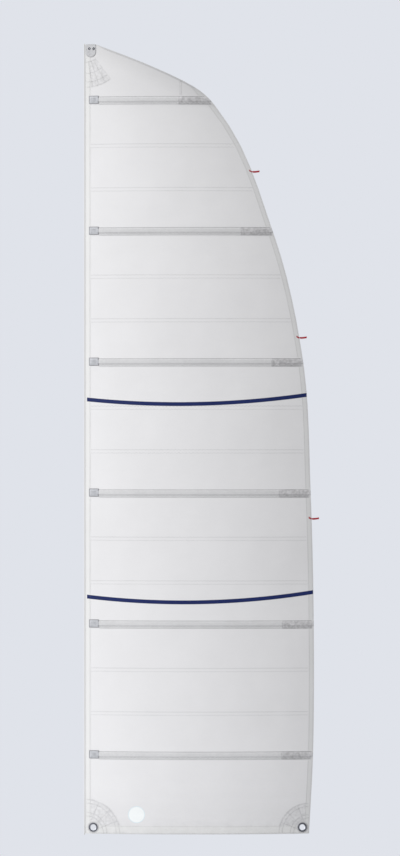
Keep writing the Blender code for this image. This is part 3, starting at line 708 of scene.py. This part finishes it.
def luff_sleeve():
    """The sleeve round the rope, in one with its two legs on the cloth."""
    radius = ROPE_RADIUS + ROPE_PLAY + CLOTH / 2
    start = math.asin(NEAR_TAPE / radius)
    end = 2 * math.pi - math.asin(-NEAR_BACK / radius)
    turn = np.linspace(start, end, 28)
    leg = np.linspace(LUFF_TAPE, 0.010, 11)
    x = np.concatenate([leg, radius * np.cos(turn), leg[::-1]])
    depth = np.concatenate([0 * leg + NEAR_TAPE, radius * np.sin(turn), 0 * leg + NEAR_BACK])
    near = np.arange(HEAD - 0.08, HEAD - 0.005, 0.008)
    z = np.array(sorted({*ROWS, *near}))[:, None]
    facts = ((0.136, round(HEAD, 3)), "folded", ["bolt_rope", "panel_01"])
    cloth(
        "luff_sleeve", x[None, :], z, depth[None, :], SLEEVE, facts,
        [*RING_HOLES[:1], *EYE_HOLES], stands_for="luff_tape", slot="edge_tape",
    )


def folded_edge(inner, outer, count=8):
    """Positions, bulges and depths across a tape folded over an edge, from starboard to port."""
    turn = np.linspace(-math.pi / 2, math.pi / 2, 9)
    middle, half = (NEAR_TAPE + NEAR_BACK) / 2, (NEAR_TAPE - NEAR_BACK) / 2
    leg = np.linspace(0, 1, count)
    share = np.concatenate([leg, np.ones(9), leg[::-1]])
    depth = np.concatenate([0 * leg + NEAR_BACK, middle + half * np.sin(turn), 0 * leg + NEAR_TAPE])
    bulge = np.concatenate([0 * leg, np.cos(turn), 0 * leg])
    return inner + share * (outer - inner), bulge, depth


def leech_hem():
    z = ROWS[:, None]
    slant = rake(z)
    x, bulge, depth = folded_edge(tape_line(z), leech(z) - 0.001)
    run = float(np.hypot(np.diff(HEIGHTS), np.diff(LEECH)).sum())
    facts = ((2 * LEECH_TAPE, round(run, 2)), "folded", ["panel_01"])
    made = cloth(
        "leech_hem", x + bulge * (0.001 + FOLD * slant), z, depth[None, :], (HEM, HEAD_HEM_SHADE), facts,
        RING_HOLES[1:], stands_for="leech_tape", slot="edge_tape",
    )
    # Faces above the corner get the darker hem: painted shade along the head's edge
    for face in made.data.polygons:
        face.material_index = int(face.center.z > CORNER - 0.01)


def foot_hem():
    line, bulge, depth = folded_edge(FOOT_TAPE, 0.001)
    z = (line - bulge * (0.001 + FOLD))[None, :]
    reach = float(leech(0)) - LEECH_TAPE - LUFF_TAPE
    extra = [(x - LUFF_TAPE + dx) / reach for x in RINGS.values() for dx in RING_STEPS]
    share = np.array(sorted({*np.linspace(0, 1, 80), *(e for e in extra if 0 < e < 1)}))[:, None]
    front, back = LUFF_TAPE + EDGE_GAP, tape_line(np.maximum(z, 0)) - EDGE_GAP
    facts = ((2 * FOOT_TAPE, round(reach, 3)), "folded", ["panel_01"])
    cloth(
        "foot_hem", front + share * (back - front), z, depth[None, :], SLEEVE, facts, RING_HOLES,
        stands_for="foot_tape", slot="edge_tape",
    )


# ---- Pockets, battens and their ends ----

# Heights across a pocket over its middle, closer together where its cloth rises
POCKET_LINE = np.array([
    -39.5, -35, -30, -25, -20, -16, -13.5, -11, -8.5, -6, -4, 0, 4, 8.5, 13, 17, 20.5, 23,
    25.5, 28, 30.5, 33, 36, 39.5,
]) / 1000


def pocket_depth(w):
    """Depth of the pocket's cloth at w over its middle. It is raised over its batten."""
    off = np.abs(w - BATTEN_RISE)
    crown = 0.0001 * (1 - (off / 0.017) ** 2).clip(0)
    return NEAR_FLANGE + (HAT_DEPTH - NEAR_FLANGE) * eased((0.0245 - off) / 0.0115) + crown


def pocket(number, height):
    front = LUFF_END_FRONT + LUFF_END_LENGTH + EDGE_GAP
    z = (height + POCKET_LINE)[None, :]
    back = leech(z) - (CAP_INSET + CAP_LENGTH + EDGE_GAP) * rake(z)
    share = np.linspace(0, 1, round((float(back.max()) - front) / POCKET_STEP))[:, None]
    depth = pocket_depth(POCKET_LINE)[None, :]
    flat = (0.083, round(float(back.mean()) - front, 3))
    cloth(
        f"pocket_cloth_{number}", front + share * (back - front), z, depth, POCKET,
        (flat, "stretched", [f"batten_{number}"]), stands_for=f"batten_pocket_{number}",
        slot="pocket_tape",
    )
    start, end = END_PATCH
    back = leech(z) - end * rake(z)
    front = float(leech(height)) - start
    share = np.linspace(0, 1, 14)[:, None]
    facts = ((0.083, start - end), "stretched", [f"pocket_cloth_{number}"])
    cloth(
        f"pocket_end_{number}", front + share * (back - front), z, depth + 0.0004, END_CLOTH,
        facts, slot="pocket_tape",
    )


def luff_end(number, height):
    """A moulded grey box with a dark rim, sloping sides, a flat middle and three ribs."""
    high = HAT_DEPTH + LUFF_END_SKIN - FITTING_BASE
    long, wide = LUFF_END_LENGTH / 2, LUFF_END_WIDTH / 2
    middle = LUFF_END_FRONT + long

    def place(a, b, over):
        return lay(middle + a, height + BATTEN_RISE + b, FITTING_BASE + over)

    body = [
        (long - 0.0003, wide - 0.0003, 0.005, 0),
        (long, wide, 0.005, 0.0004),
        (long, wide, 0.005, 0.0030),
        (long - 0.0006, wide - 0.0006, 0.0045, 0.0037),
        (long - 0.0050, wide - 0.0050, 0.0035, 0.0037),
        (long - 0.0056, wide - 0.0056, 0.0034, 0.0029),
        (long - 0.0066, wide - 0.0066, 0.0032, 0.0029),
        (long - 0.0140, wide - 0.0170, 0.0040, high - 0.0014),
        (long - 0.0150, wide - 0.0182, 0.0035, high - 0.0012),
    ]
    rib = [
        (long - 0.0245, 0.0034, 0.0030, high - 0.0014),
        (long - 0.0247, 0.0030, 0.0028, high - 0.0004),
        (long - 0.0253, 0.0022, 0.0020, high),
    ]
    mouth = [
        (0.0110, 0.0182, 0.0030, 0.0026),
        (0.0110, 0.0180, 0.0030, high - 0.0014),
        (0.0104, 0.0172, 0.0030, high - 0.0006),
        (0.0088, 0.0156, 0.0030, high - 0.0003),
    ]
    parts = [moulding("body", place, body)]
    parts += [moulding("rib", place, rib, at=(-0.008, offset)) for offset in (-0.012, 0.0, 0.012)]
    parts.append(moulding("mouth", place, mouth, at=(long - 0.0112, 0)))
    mesh = joined(f"end_box_{number}", parts)
    stands_for = f"luff_end_{number}"
    piece(mesh, (END_PLASTIC, END_RIM), stands_for=stands_for, slot="luff_end_plastic")
    rim_rows, columns = 6, 24
    for face in mesh.polygons[: rim_rows * columns]:
        face.material_index = 1


def cap(number, height):
    """The moulded end cap of a batten, with a recess in its face."""
    middle = height + BATTEN_RISE
    slant = float(rake(middle))
    high = BATTEN_DEPTH + BATTEN_THICKNESS / 2 + CAP_PLAY + CAP_WALL - FITTING_BASE
    half, wide = CAP_LENGTH / 2, BATTEN_WIDTH / 2 + CAP_PLAY + CAP_WALL

    def place(a, b, over):
        x = leech(middle + b) + (a - CAP_INSET - half) * slant
        return lay(x, middle + b, FITTING_BASE + over)

    loops = [
        (half - 0.0003, wide - 0.0003, 0.0010, 0),
        (half, wide, 0.0012, 0.0004),
        (half, wide, 0.0012, high - 0.0010),
        (half - 0.0004, wide - 0.0004, 0.0011, high - 0.0002),
        (half - 0.0010, wide - 0.0010, 0.0010, high),
        (half - 0.0022, wide - 0.0050, 0.0012, high),
        (half - 0.0026, wide - 0.0054, 0.0010, high - 0.0008),
    ]
    mesh = moulding(f"end_cap_{number}", place, loops)
    piece(mesh, CAP_PLASTIC, f"batten_{number}", f"batten_cap_{number}", "cap_plastic")


# ---- Corner patches ----


# Their points, and the angles of their first and last side
CORNERS = {
    "tack": ((PANEL_FRONT, 0), (0, 90)),
    "clew": ((float(leech(0)), 0), (90, 180)),
    "head": ((PANEL_FRONT, HEAD), (-90, HEAD_PATCH_TURN - 90)),
}


def fan(name, corner, reach, depth, holes=(), **riding):
    """A thin layer of cloth in a corner, cut as part of a ring between two radii."""
    (cx, cz), (first, last) = CORNERS[corner]
    r = np.linspace(*reach, round((reach[1] - reach[0]) / PATCH_STEP))[:, None]
    angle = np.radians(np.linspace(first, last, 25))[None, :]
    x, z = cx + r * np.cos(angle), cz + r * np.sin(angle)
    wide = round(reach[1] - reach[0] * 0.5, 3)
    share = (last - first) / 360 * math.pi
    area = round(share * (reach[1] ** 2 - reach[0] ** 2), 4)
    long = round(max(wide, area / wide * 1.02), 3)
    facts = ((wide, long), "laid", ["panel_17" if cz else "panel_01"], area)
    cloth(name, x, z, depth, PATCH, facts, holes, PATCH_THICK, slot="patch_cloth", **riding)


def patches():
    for layer, (tack, clew, depth) in enumerate(PATCH_LAYERS):
        for corner, reach in (("tack", tack), ("clew", clew)):
            cut = (corner, (0.01, reach))
            stands_for = "" if layer else f"{corner}_patch"
            fan(f"{corner}_layer_{layer}", *cut, depth, RING_HOLES, stands_for=stands_for)
            if layer == 0:
                fan(f"{corner}_back", *cut, PATCH_BACK, RING_HOLES)
    reach = (HEAD_PATCH_START, HEAD_PATCH)
    fan("head_layer", "head", reach, HEAD_PATCH_DEPTH, stands_for="head_patch")
    low = TOP_BATTEN + POCKET_WIDTH / 2 + EDGE_GAP
    above = HEIGHTS > TOP_BATTEN
    high = float(np.interp(-ROACH_PATCH_FRONT, -TAPE_LINE[above], HEIGHTS[above])) - 0.012
    z = np.linspace(low, high, 16)[:, None]
    back = tape_line(z) - 2 * EDGE_GAP
    share = np.linspace(0, 1, 16)[None, :]
    reach = back - ROACH_PATCH_FRONT
    area = round(float(np.trapz(reach[:, 0], z[:, 0])), 4)
    flat = (round(float(reach.max()), 3), round(high - low, 3))
    cloth(
        "roach_cloth", ROACH_PATCH_FRONT + share * reach, z, ROACH_DEPTH, SAILCLOTH,
        (flat, "laid", ["panel_17"], area), stands_for="roach_patch", slot="patch_cloth",
    )


# ---- Rings, headboard ----


def rings():
    """Pressed rings with a bright eye and painted shade on the rim, on discs of painted shade."""
    low, high = 1000 * STARBOARD_BASE, 1000 * PORT_BASE
    rim = [
        (43.0, 0.0), (43.8, 0.3), (44.0, 1.0), (43.7, 1.8), (42.8, 2.4), (41.4, 2.5), (40.0, 2.2),
        (39.0, 1.5), (38.2, 1.1), (37.2, 1.2), (36.4, 1.8), (35.2, 2.3), (33.0, 2.5),
    ]
    dome = [(31.0, 2.5), (29.2, 2.2), (27.7, 1.4), (27.0, 0.2)]
    port = [(r, high + h) for r, h in rim + dome]
    starboard = [(r, low - h) for r, h in reversed(rim + dome)]
    profile = [*port, *starboard, (33.0, low), (33.0, high)]
    # Faces of the rims on both sides, which carry the painted shade
    dark = {*range(len(rim)), *range(len(port) + len(dome), len(port) + len(starboard))}
    # A grey disc of cloth round each ring, as painted shade round it
    disc_steps = ((38, 0), (55, 0), (55.4, 0.3), (54.6, 0.55), (38, 0.55))
    shade_disc = [(r, 1000 * (NEAR_TAPE + CLOTH / 2) + h) for r, h in disc_steps]
    for name, x in RINGS.items():
        mesh = turned(f"{name}_thimble", profile, seat(x, RING_HEIGHT))
        looks = (BRIGHT_STEEL, RING_RIM_SHADE_STEEL)
        piece(mesh, looks, stands_for=f"{name}_ring", slot="stainless_ring")
        for k, face in enumerate(mesh.polygons):
            if k % len(profile) in dark:
                face.material_index = 1
        mesh = turned(f"{name}_washer", shade_disc, seat(x, RING_HEIGHT))
        made = piece(mesh, RING_HALO_SHADE, slot="patch_cloth")


def plate(name, corners, holes, thick):
    """A flat plate with bevelled edges: corners are (x, y, radius, first angle), holes centres."""
    outline = []
    for cx, cy, radius, start in corners:
        for turn in np.radians(np.linspace(start, start + 90, 4 if radius < 0.01 else 14)):
            outline.append(
                (cx - math.copysign(radius, cx) + radius * math.cos(turn),
                 cy - math.copysign(radius, cy) + radius * math.sin(turn))
            )
    turns = np.linspace(0, 2 * math.pi, 32, endpoint=False)
    loops = [outline]
    for hx, hy in holes:
        loops.append([(hx + EYE_BORE * math.cos(t), hy + EYE_BORE * math.sin(t)) for t in turns])
    edge = thick / 4
    curve = bpy.data.curves.new(name, "CURVE")
    curve.dimensions = "2D"
    curve.fill_mode = "BOTH"
    curve.extrude = thick / 2 - edge
    curve.bevel_depth = edge
    curve.bevel_resolution = 2
    curve.offset = -edge
    for loop in loops:
        spline = curve.splines.new("POLY")
        spline.points.add(len(loop) - 1)
        spline.use_cyclic_u = True
        for point, (px, py) in zip(spline.points, loop):
            point.co = (px, py, 0, 1)
    former = placed("former", curve)
    graph = bpy.context.evaluated_depsgraph_get()
    mesh = bpy.data.meshes.new_from_object(former.evaluated_get(graph))
    bpy.data.objects.remove(former)
    mesh.name = name
    welded = bmesh.new()
    welded.from_mesh(mesh)
    bmesh.ops.remove_doubles(welded, verts=welded.verts, dist=1e-6)
    welded.to_mesh(mesh)
    welded.free()
    mesh.shade_flat()
    return mesh


def headboard():
    """A plate on each side with two eyes through both. A darker cloth under the port plate shows
    below it as the plate's painted shadow.
    """
    x = HEADBOARD_FRONT + HEADBOARD_WIDTH / 2
    z = HEAD + HEADBOARD_PROUD - HEADBOARD_HEIGHT / 2
    place = seat(x, z)
    half, top = HEADBOARD_WIDTH / 2, HEADBOARD_HEIGHT / 2
    eyes = {name: (ex - x, HEAD - EYE_DROP - z) for name, ex in EYES.items()}
    plates = (
        ("board_port", 0.0, PORT_BASE + HEADBOARD_PLATE / 2, HEADBOARD_PLATE, BOARD),
        ("board_starboard", 0.0, STARBOARD_BASE - HEADBOARD_PLATE / 2, HEADBOARD_PLATE, BOARD),
        # the darker cloth under the port plate, showing below it as its painted shadow
        ("board_liner", BOARD_SHADOW_PROUD, PORT_BASE - 0.00045, 0.0006, BOARD_SHADOW_CLOTH),
    )
    for name, proud, middle, thick, look in plates:
        foot = -top - proud
        corners = (
            (half, top, 0.006, 0), (-half, top, 0.006, 90),
            (-half, foot, HEADBOARD_FOOT_ROUND, 180), (half, foot, HEADBOARD_FOOT_ROUND, 270),
        )
        mesh = plate(name, corners, eyes.values(), thick)
        mesh.transform(place @ Matrix.Translation((0, 0, middle)))
        if look is BOARD_SHADOW_CLOTH:
            made = piece(mesh, look, slot="patch_cloth")
        else:
            stands_for = name.replace("board_", "headboard_")
            piece(mesh, look, stands_for=stands_for, slot="headboard_plate")
    out = 1000 * (PORT_BASE + HEADBOARD_PLATE + LAYER_GAP)
    inn = 1000 * (STARBOARD_BASE - HEADBOARD_PLATE - LAYER_GAP)
    lip = [(11.8, 0.0), (12.5, 0.3), (12.2, 0.8), (10.8, 1.1), (7.2, 1.1), (5.6, 0.8), (5.0, 0.1)]
    profile = [(r, out + h) for r, h in lip] + [(r, inn - h) for r, h in reversed(lip)]
    profile += [(6.4, inn), (6.4, out)]
    for name, (ex, ey) in eyes.items():
        mesh = turned(f"eye_{name}", profile, place @ Matrix.Translation((ex, ey, 0)), steps=40)
        piece(mesh, EYE_METAL, stands_for=f"headboard_eye_{name}", slot="dark_eye")


# ---- Stripes, telltales, rope, sticker ----


def stripes():
    for level, (number, over, rise, sag) in STRIPES.items():
        height = float(BATTEN_HEIGHTS[number - 1]) + over
        back = float(leech(height)) - STRIPE_INSET
        share = np.linspace(0, 1, 90)[:, None]
        x = STRIPE_FRONT + share * (back - STRIPE_FRONT)
        side = np.linspace(-1, 1, 5)[None, :]
        z = height + rise * share - sag * 4 * share * (1 - share) + side * STRIPE_WIDTH / 2
        taped = 1 - eased((x - LUFF_TAPE) / 0.012) * eased((tape_line(height) - x) / 0.012)
        depth = STRIPE_DEPTH + taped * (NEAR_FLANGE - STRIPE_DEPTH)
        flat = (STRIPE_WIDTH, round((back - STRIPE_FRONT) * 1.01, 3))
        cloth(
            f"stripe_{level}", x, z, depth, STRIPE, (flat, "laid", ["panel_04"]),
            stands_for=f"draft_stripe_{level}", slot="draft_stripe",
        )


def telltales():
    """Ribbons that stream from the leech, each sewn to it under a tab on either side."""
    depth = (TAPE_DEPTH + STARBOARD_DEPTH) / 2
    for level, (number, over) in TELLTALES.items():
        height = float(BATTEN_HEIGHTS[number - 1]) + over
        s = np.linspace(0, 1, 36)[:, None]
        side = np.linspace(-1, 1, 5)[None, :]
        width = TELLTALE_WIDTH - TELLTALE_GATHER * np.maximum(0, 1 - s / 0.14)
        wave = TELLTALE_LIFT * s - TELLTALE_SAG * np.sin(np.pi * s**0.7)
        z = height + wave + side * width / 2
        gap = TELLTALE_GAP * rake(height)
        root = leech(z[:1]) + gap
        x = root + s * (leech(height) + gap + TELLTALE_LENGTH - root)
        curl = depth + s * (0.0012 * np.sin(7 * s + 1) + 0.0008 * side * np.sin(11 * s))
        cloth(
            f"ribbon_{level}", x, z, curl, RIBBON,
            ((TELLTALE_WIDTH, TELLTALE_LENGTH), "hung", ["leech_hem"]), thick=0.0005,
            body=f"telltale_{level}", stands_for=f"telltale_{level}", slot="telltale_ribbon",
        )
        for name, out in SIDES.items():

            def place(a, b, high, height=height, out=out):
                x = leech(height + b) - TAB_INSET + a
                z = height + b + TAB_RISE - TAB_SLOPE * a
                return lay(x, z, out * (NEAR_TAPE + (ON_CLOTH + high)))

            loops = (
                (0.0135, 0.0085, 0.002, 0),
                (0.0135, 0.0085, 0.002, 0.0003),
                (0.0132, 0.0082, 0.002, 0.0005),
            )
            mesh = moulding(f"tab_{level}_{name}", place, loops)
            made = piece(mesh, RIBBON, slot="telltale_ribbon")


def rope():
    """A laid rope of three strands. Inside the sleeve, where nothing shows, it is plain."""
    turn = np.linspace(0, 2 * math.pi, 24, endpoint=False)[None, :]
    low, high = -ROPE_TAIL, HEAD + ROPE_TAIL
    ends = np.arange(0, 0.0721, 0.0016)
    plain = np.linspace(0.12, HEAD - 0.12, 60)
    z = np.array([*(low + ends), *plain, *(high - ends[::-1])])[:, None]
    strand = 2 * math.pi * z / ROPE_LAY
    inward = np.minimum(z - low, high - z)
    laid = eased((ROPE_BARE - inward) / 0.01)
    lobes = np.abs(np.cos(1.5 * (turn - strand)))
    shrink = np.minimum(1, 0.45 + inward / 0.003 * 0.55)
    radius = (ROPE_RADIUS - laid * GROOVE * (1 - lobes) ** 1.5) * shrink
    points = np.stack([radius * np.cos(turn), radius * np.sin(turn), z + 0 * turn], axis=-1)
    mesh = mesh_of("luff_rope", points, capped(*radius.shape))
    piece(mesh, ROPE, "bolt_rope", "bolt_rope", "rope")


def sticker():
    """A plain round sticker, bare."""
    x, z, radius = STICKER

    def place(a, b, high):
        return lay(x + a, z + b, ON_CLOTH + high)

    inward = (1, 0.995, 0.92, 0.7, 0.5, 0.3, 0.12)
    under = [(radius * k, radius * k, radius * k * 0.999, 0) for k in inward[::-1]]
    loops = under + [(a, b, corner, 0.00020) for a, b, corner, _ in under[::-1]]
    count = 20
    columns, rim_start, rim_end = 4 * count, 4, 9
    mesh = moulding("round_sticker", place, loops, count)
    made = piece(mesh, (DISC, DISC_RIM), slot="sailcloth")
    for face in mesh.polygons[rim_start * columns : rim_end * columns]:
        face.material_index = 1


# ---- Stitching ----


def face_depth(x, z, out):
    """Depth of the outermost cloth to port (out is 1) or starboard (-1), away from fittings."""
    tape = (x < LUFF_TAPE) | (x > tape_line(z)) | (z < FOOT_TAPE)
    if out < 0:
        return np.where(tape, NEAR_BACK, 0.0) - CLOTH / 2
    low = np.array([0, *SEAMS])[np.clip(np.searchsorted(SEAMS - LAP / 2, z), 0, 16)] - LAP / 2
    depth = np.where(z > SEAMS[0] - LAP / 2, lapped(z, low), 0.0)
    return np.where(tape, NEAR_TAPE, depth) + CLOTH / 2


def bare(x, z, out):
    """Where no ring, headboard, pocket or luff end covers the cloth on that side."""
    free = np.ones(x.shape, bool)
    for cx in RINGS.values():
        free &= np.hypot(x - cx, z - RING_HEIGHT) > RING_RIM + 0.003
    free &= ~((x < HEADBOARD_FRONT + HEADBOARD_WIDTH + 0.003) & (z > HEAD - HEADBOARD_HEIGHT))
    if out > 0:
        gap = np.min(np.abs(z[..., None] - BATTEN_HEIGHTS), axis=-1)
        free &= (gap > POCKET_WIDTH / 2 + 0.004) | (x < LUFF_END_FRONT - 0.004)
    return free


def thread(rows, out, face, free):
    """Points and faces of zigzag stitches. A row is its line's x and z, its size as in FINE, and
    the thickness of further layers under it. out is 1 for port and -1 for starboard."""
    points, faces, start = [], [], 0
    profile = ((-1.15, 0.00002), (-0.6, THREAD_HIGH), (0.6, THREAD_HIGH), (1.15, 0.00002))
    for x, z, (pitch, swing, thick), over in rows:
        run = np.concatenate([[0], np.cumsum(np.hypot(np.diff(x), np.diff(z)))])
        count = max(2, int(run[-1] / (pitch / 2)))
        s = np.linspace(0, run[-1], count + 1)
        ax, az = np.interp(s, run, x), np.interp(s, run, z)
        dx, dz = np.gradient(ax), np.gradient(az)
        long = np.hypot(dx, dz)
        nx, nz = -dz / long, dx / long
        side = swing * (-1.0) ** np.arange(count + 1)
        ax, az = ax + side * nx, az + side * nz
        wide = thick / 2 * math.hypot(pitch / 2, 2 * swing) / (pitch / 2)
        depth = face(ax, az, out) + out * over
        layers = []
        for across, high in profile:
            off = across * wide
            layers.append(lay(ax + off * nx, az + off * nz, depth + out * high))
        allowed = free(ax, az, out)
        grid = quads(count + 1, 4).reshape(count, 3, 4)
        kept = grid[allowed[:-1] & allowed[1:]].reshape(-1, 4)
        points.append(np.stack(layers, axis=1).reshape(-1, 3))
        faces.append((kept if out > 0 else kept[:, ::-1]) + start)
        start += (count + 1) * 4
    return np.concatenate(points), np.concatenate(faces)


def stitching(name, rows, look, out=1, face=face_depth, free=bare):
    """One piece of such stitches, without the points that no face uses."""
    points, faces = thread(rows, out, face, free)
    used, faces = np.unique(faces, return_inverse=True)
    mesh = mesh_of(name, points[used], faces.reshape(-1, 4))
    return piece(mesh, look, slot="edge_tape")


def seam_rows():
    rows = []
    for seam in SEAMS:
        x = np.linspace(LUFF_TAPE + 0.004, float(tape_line(seam)) - 0.004, 200)
        rows += [(x, np.full(200, seam + offset), WIDE, 0) for offset in SEAM_ROWS]
    return rows


def hem_rows():
    z = np.linspace(ROW_END, HEAD - ROW_END, 1500)
    rows = [(np.full(1500, x), z, FINE, 0) for x in LUFF_ROWS]
    z = np.linspace(ROW_END, CORNER - 0.01, 2200)
    rows.append((tape_line(z) + LEECH_ROWS[0] * rake(z), z, FINE, 0))
    z = np.linspace(ROW_END, HEAD - 0.02, 2500)
    rows.append((leech(z) - LEECH_ROWS[1] * rake(z), z, FINE, 0))
    for height in FOOT_ROWS:
        x = np.linspace(LUFF_TAPE + ROW_END, float(tape_line(height)) - ROW_END, 400)
        rows.append((x, np.full(400, height), FINE, 0))
    return rows


def patch_rows():
    """Arcs and spokes on the corner patches, rows round the rings, and the roach patch's edge."""
    rows = []
    arcs = {
        "tack": (TACK_PATCH, (0.96, 0.86, 0.60, 0.50)),
        "clew": (CLEW_PATCH, (0.96, 0.86, 0.60, 0.50)),
        "head": (HEAD_PATCH, (0.98, 0.86, 0.66, 0.40)),
    }
    for corner, (reach, shares) in arcs.items():
        (cx, cz), (first, last) = CORNERS[corner]
        arc = np.radians(np.linspace(first + 1.5, last - 1.5, 120))
        lines = [(share * reach, arc) for share in shares]
        spoke = np.linspace(0.40, 0.95, 60) * reach
        lines += [(spoke, turn) for turn in np.radians(np.linspace(first, last, 5)[1:4])]
        for r, turn in lines:
            rows.append((cx + r * np.cos(turn), cz + r * np.sin(turn), SEWN, 0.0006))
    turn = np.linspace(0, 2 * math.pi, 60)
    for cx in RINGS.values():
        x, z = cx + RING_ROW * np.cos(turn), RING_HEIGHT + RING_ROW * np.sin(turn)
        rows.append((x, z, SEWN, 0.0008))
    z = np.linspace(TOP_BATTEN + 0.050, CORNER + 0.06, 60)
    rows += [(np.full(60, ROACH_PATCH_FRONT + x), z, SEWN, 0.0008) for x in ROACH_ROWS]
    return rows


def pocket_rows():
    """Rows along each pocket's edges and under its tunnel, and denser ones on its reinforcement."""
    rows = []
    start, end = END_PATCH
    for height in map(float, BATTEN_HEIGHTS):
        front = LUFF_END_FRONT + LUFF_END_LENGTH + ROW_END
        last = float(leech(height)) - start
        spans = [(offset, size, front, last - 0.004, 0) for offset, size in POCKET_ROWS]
        for offset, size in END_ROWS:
            back = float(leech(height + offset)) - end * float(rake(height)) - ROW_END
            spans.append((offset, size, last + 0.004, back, 0.0004))
        for offset, size, low, high, over in spans:
            rows.append((np.linspace(low, high, 200), np.full(200, height + offset), size, over))
    return rows


def pocket_face(x, z, out):
    nearest = BATTEN_HEIGHTS[np.argmin(np.abs(z[..., None] - BATTEN_HEIGHTS), axis=-1)]
    return pocket_depth(z - nearest) + CLOTH / 2


def anywhere(x, z, out):
    return np.ones(x.shape, bool)


def all_stitches():
    pieces = {}
    for group, rows in (("seams", seam_rows()), ("hems", hem_rows()), ("patches", patch_rows())):
        pieces[group] = [
            stitching(f"{group}_thread_{side}", rows, SEAM_THREAD_DIRT_AND_SHADE, out)
            for side, out in SIDES.items()
        ]
    rows = pocket_rows()
    pocket = stitching("pocket_thread", rows, POCKET_THREAD_DIRT_AND_SHADE, 1, pocket_face, anywhere)
    return {**pieces, "pockets": [pocket]}


# ---- Build ----


def build():
    panels()
    luff_sleeve()
    leech_hem()
    foot_hem()
    for number, height in enumerate(BATTEN_HEIGHTS, start=1):
        pocket(number, float(height))
        luff_end(number, float(height))
        cap(number, float(height))
        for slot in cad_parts[f"batten_{number}"].material_slots:
            slot.material = GLASS
    patches()
    rings()
    headboard()
    stripes()
    telltales()
    rope()
    sticker()
    stitches = all_stitches()


def studio():
    """A pale floor under the sail, one soft key light from the luff, a fill and a pale world."""
    bm = bmesh.new()
    bmesh.ops.create_circle(bm, cap_ends=True, segments=128, radius=5.5)
    mesh = bpy.data.meshes.new("floor")
    bm.to_mesh(mesh)
    bm.free()
    floor = placed("floor", mesh)
    floor.location = (1.1, 0, -0.8)
    made, tree, shader, at = blank("floor_paint", Roughness=0.8)
    tone = ramp(tree, noise(tree, at, 0.8, 3.0), shades((0.66, 0.67, 0.69), 0.98, 1.02))
    tree.links.new(tone, shader.inputs["Base Color"])
    mesh.materials.append(made)

    def sun(name, toward, strength, angle):
        light = bpy.data.lights.new(name, "SUN")
        light.energy = strength
        light.angle = angle
        turn = Vector(toward).to_track_quat("-Z", "Y")
        placed(name, light).rotation_euler = turn.to_euler()

    sun("key", (0.77, 0.53, -0.355), 2.64, 0.45)
    sun("fill", (-0.55, -0.70, -0.45), 1.1, 0.8)

    world = bpy.data.worlds.new("pale_world")
    bpy.context.scene.world = world
    world.use_nodes = True
    tree = world.node_tree
    tree.nodes.clear()
    path = node(tree, "LightPath").outputs
    seen = maths(tree, "MAXIMUM", path["Is Camera Ray"], path["Is Glossy Ray"])
    seen = maths(tree, "MAXIMUM", seen, path["Is Transmission Ray"])
    lit = node(tree, "Background", {"Color": (1, 1, 1, 1), "Strength": 0.39})
    shown = node(tree, "Background", {"Color": (0.745, 0.768, 0.823, 1), "Strength": 1.0})
    mixed = node(tree, "MixShader", {0: seen, 1: lit.outputs[0], 2: shown.outputs[0]})
    out = node(tree, "OutputWorld")
    tree.links.new(mixed.outputs[0], out.inputs["Surface"])


def camera():
    """Square on from port and far off, as in the photograph."""
    far = 60.0
    wide, high = PHOTO_SIZE
    foot_x, foot_y = PHOTO_FOOT
    lens = bpy.data.cameras.new("camera")
    lens.sensor_width = 36
    lens.lens = lens.sensor_width * far / (high * PIXEL)
    lens.clip_end = 300
    eye = placed("camera", lens)
    eye.location = ((wide / 2 - foot_x) * PIXEL, -far, (foot_y - high / 2) * PIXEL)
    eye.rotation_euler = (math.pi / 2, 0, 0)
    bpy.context.scene.camera = eye


build()
studio()
camera()
bpy.context.scene.view_settings.view_transform = "Standard"
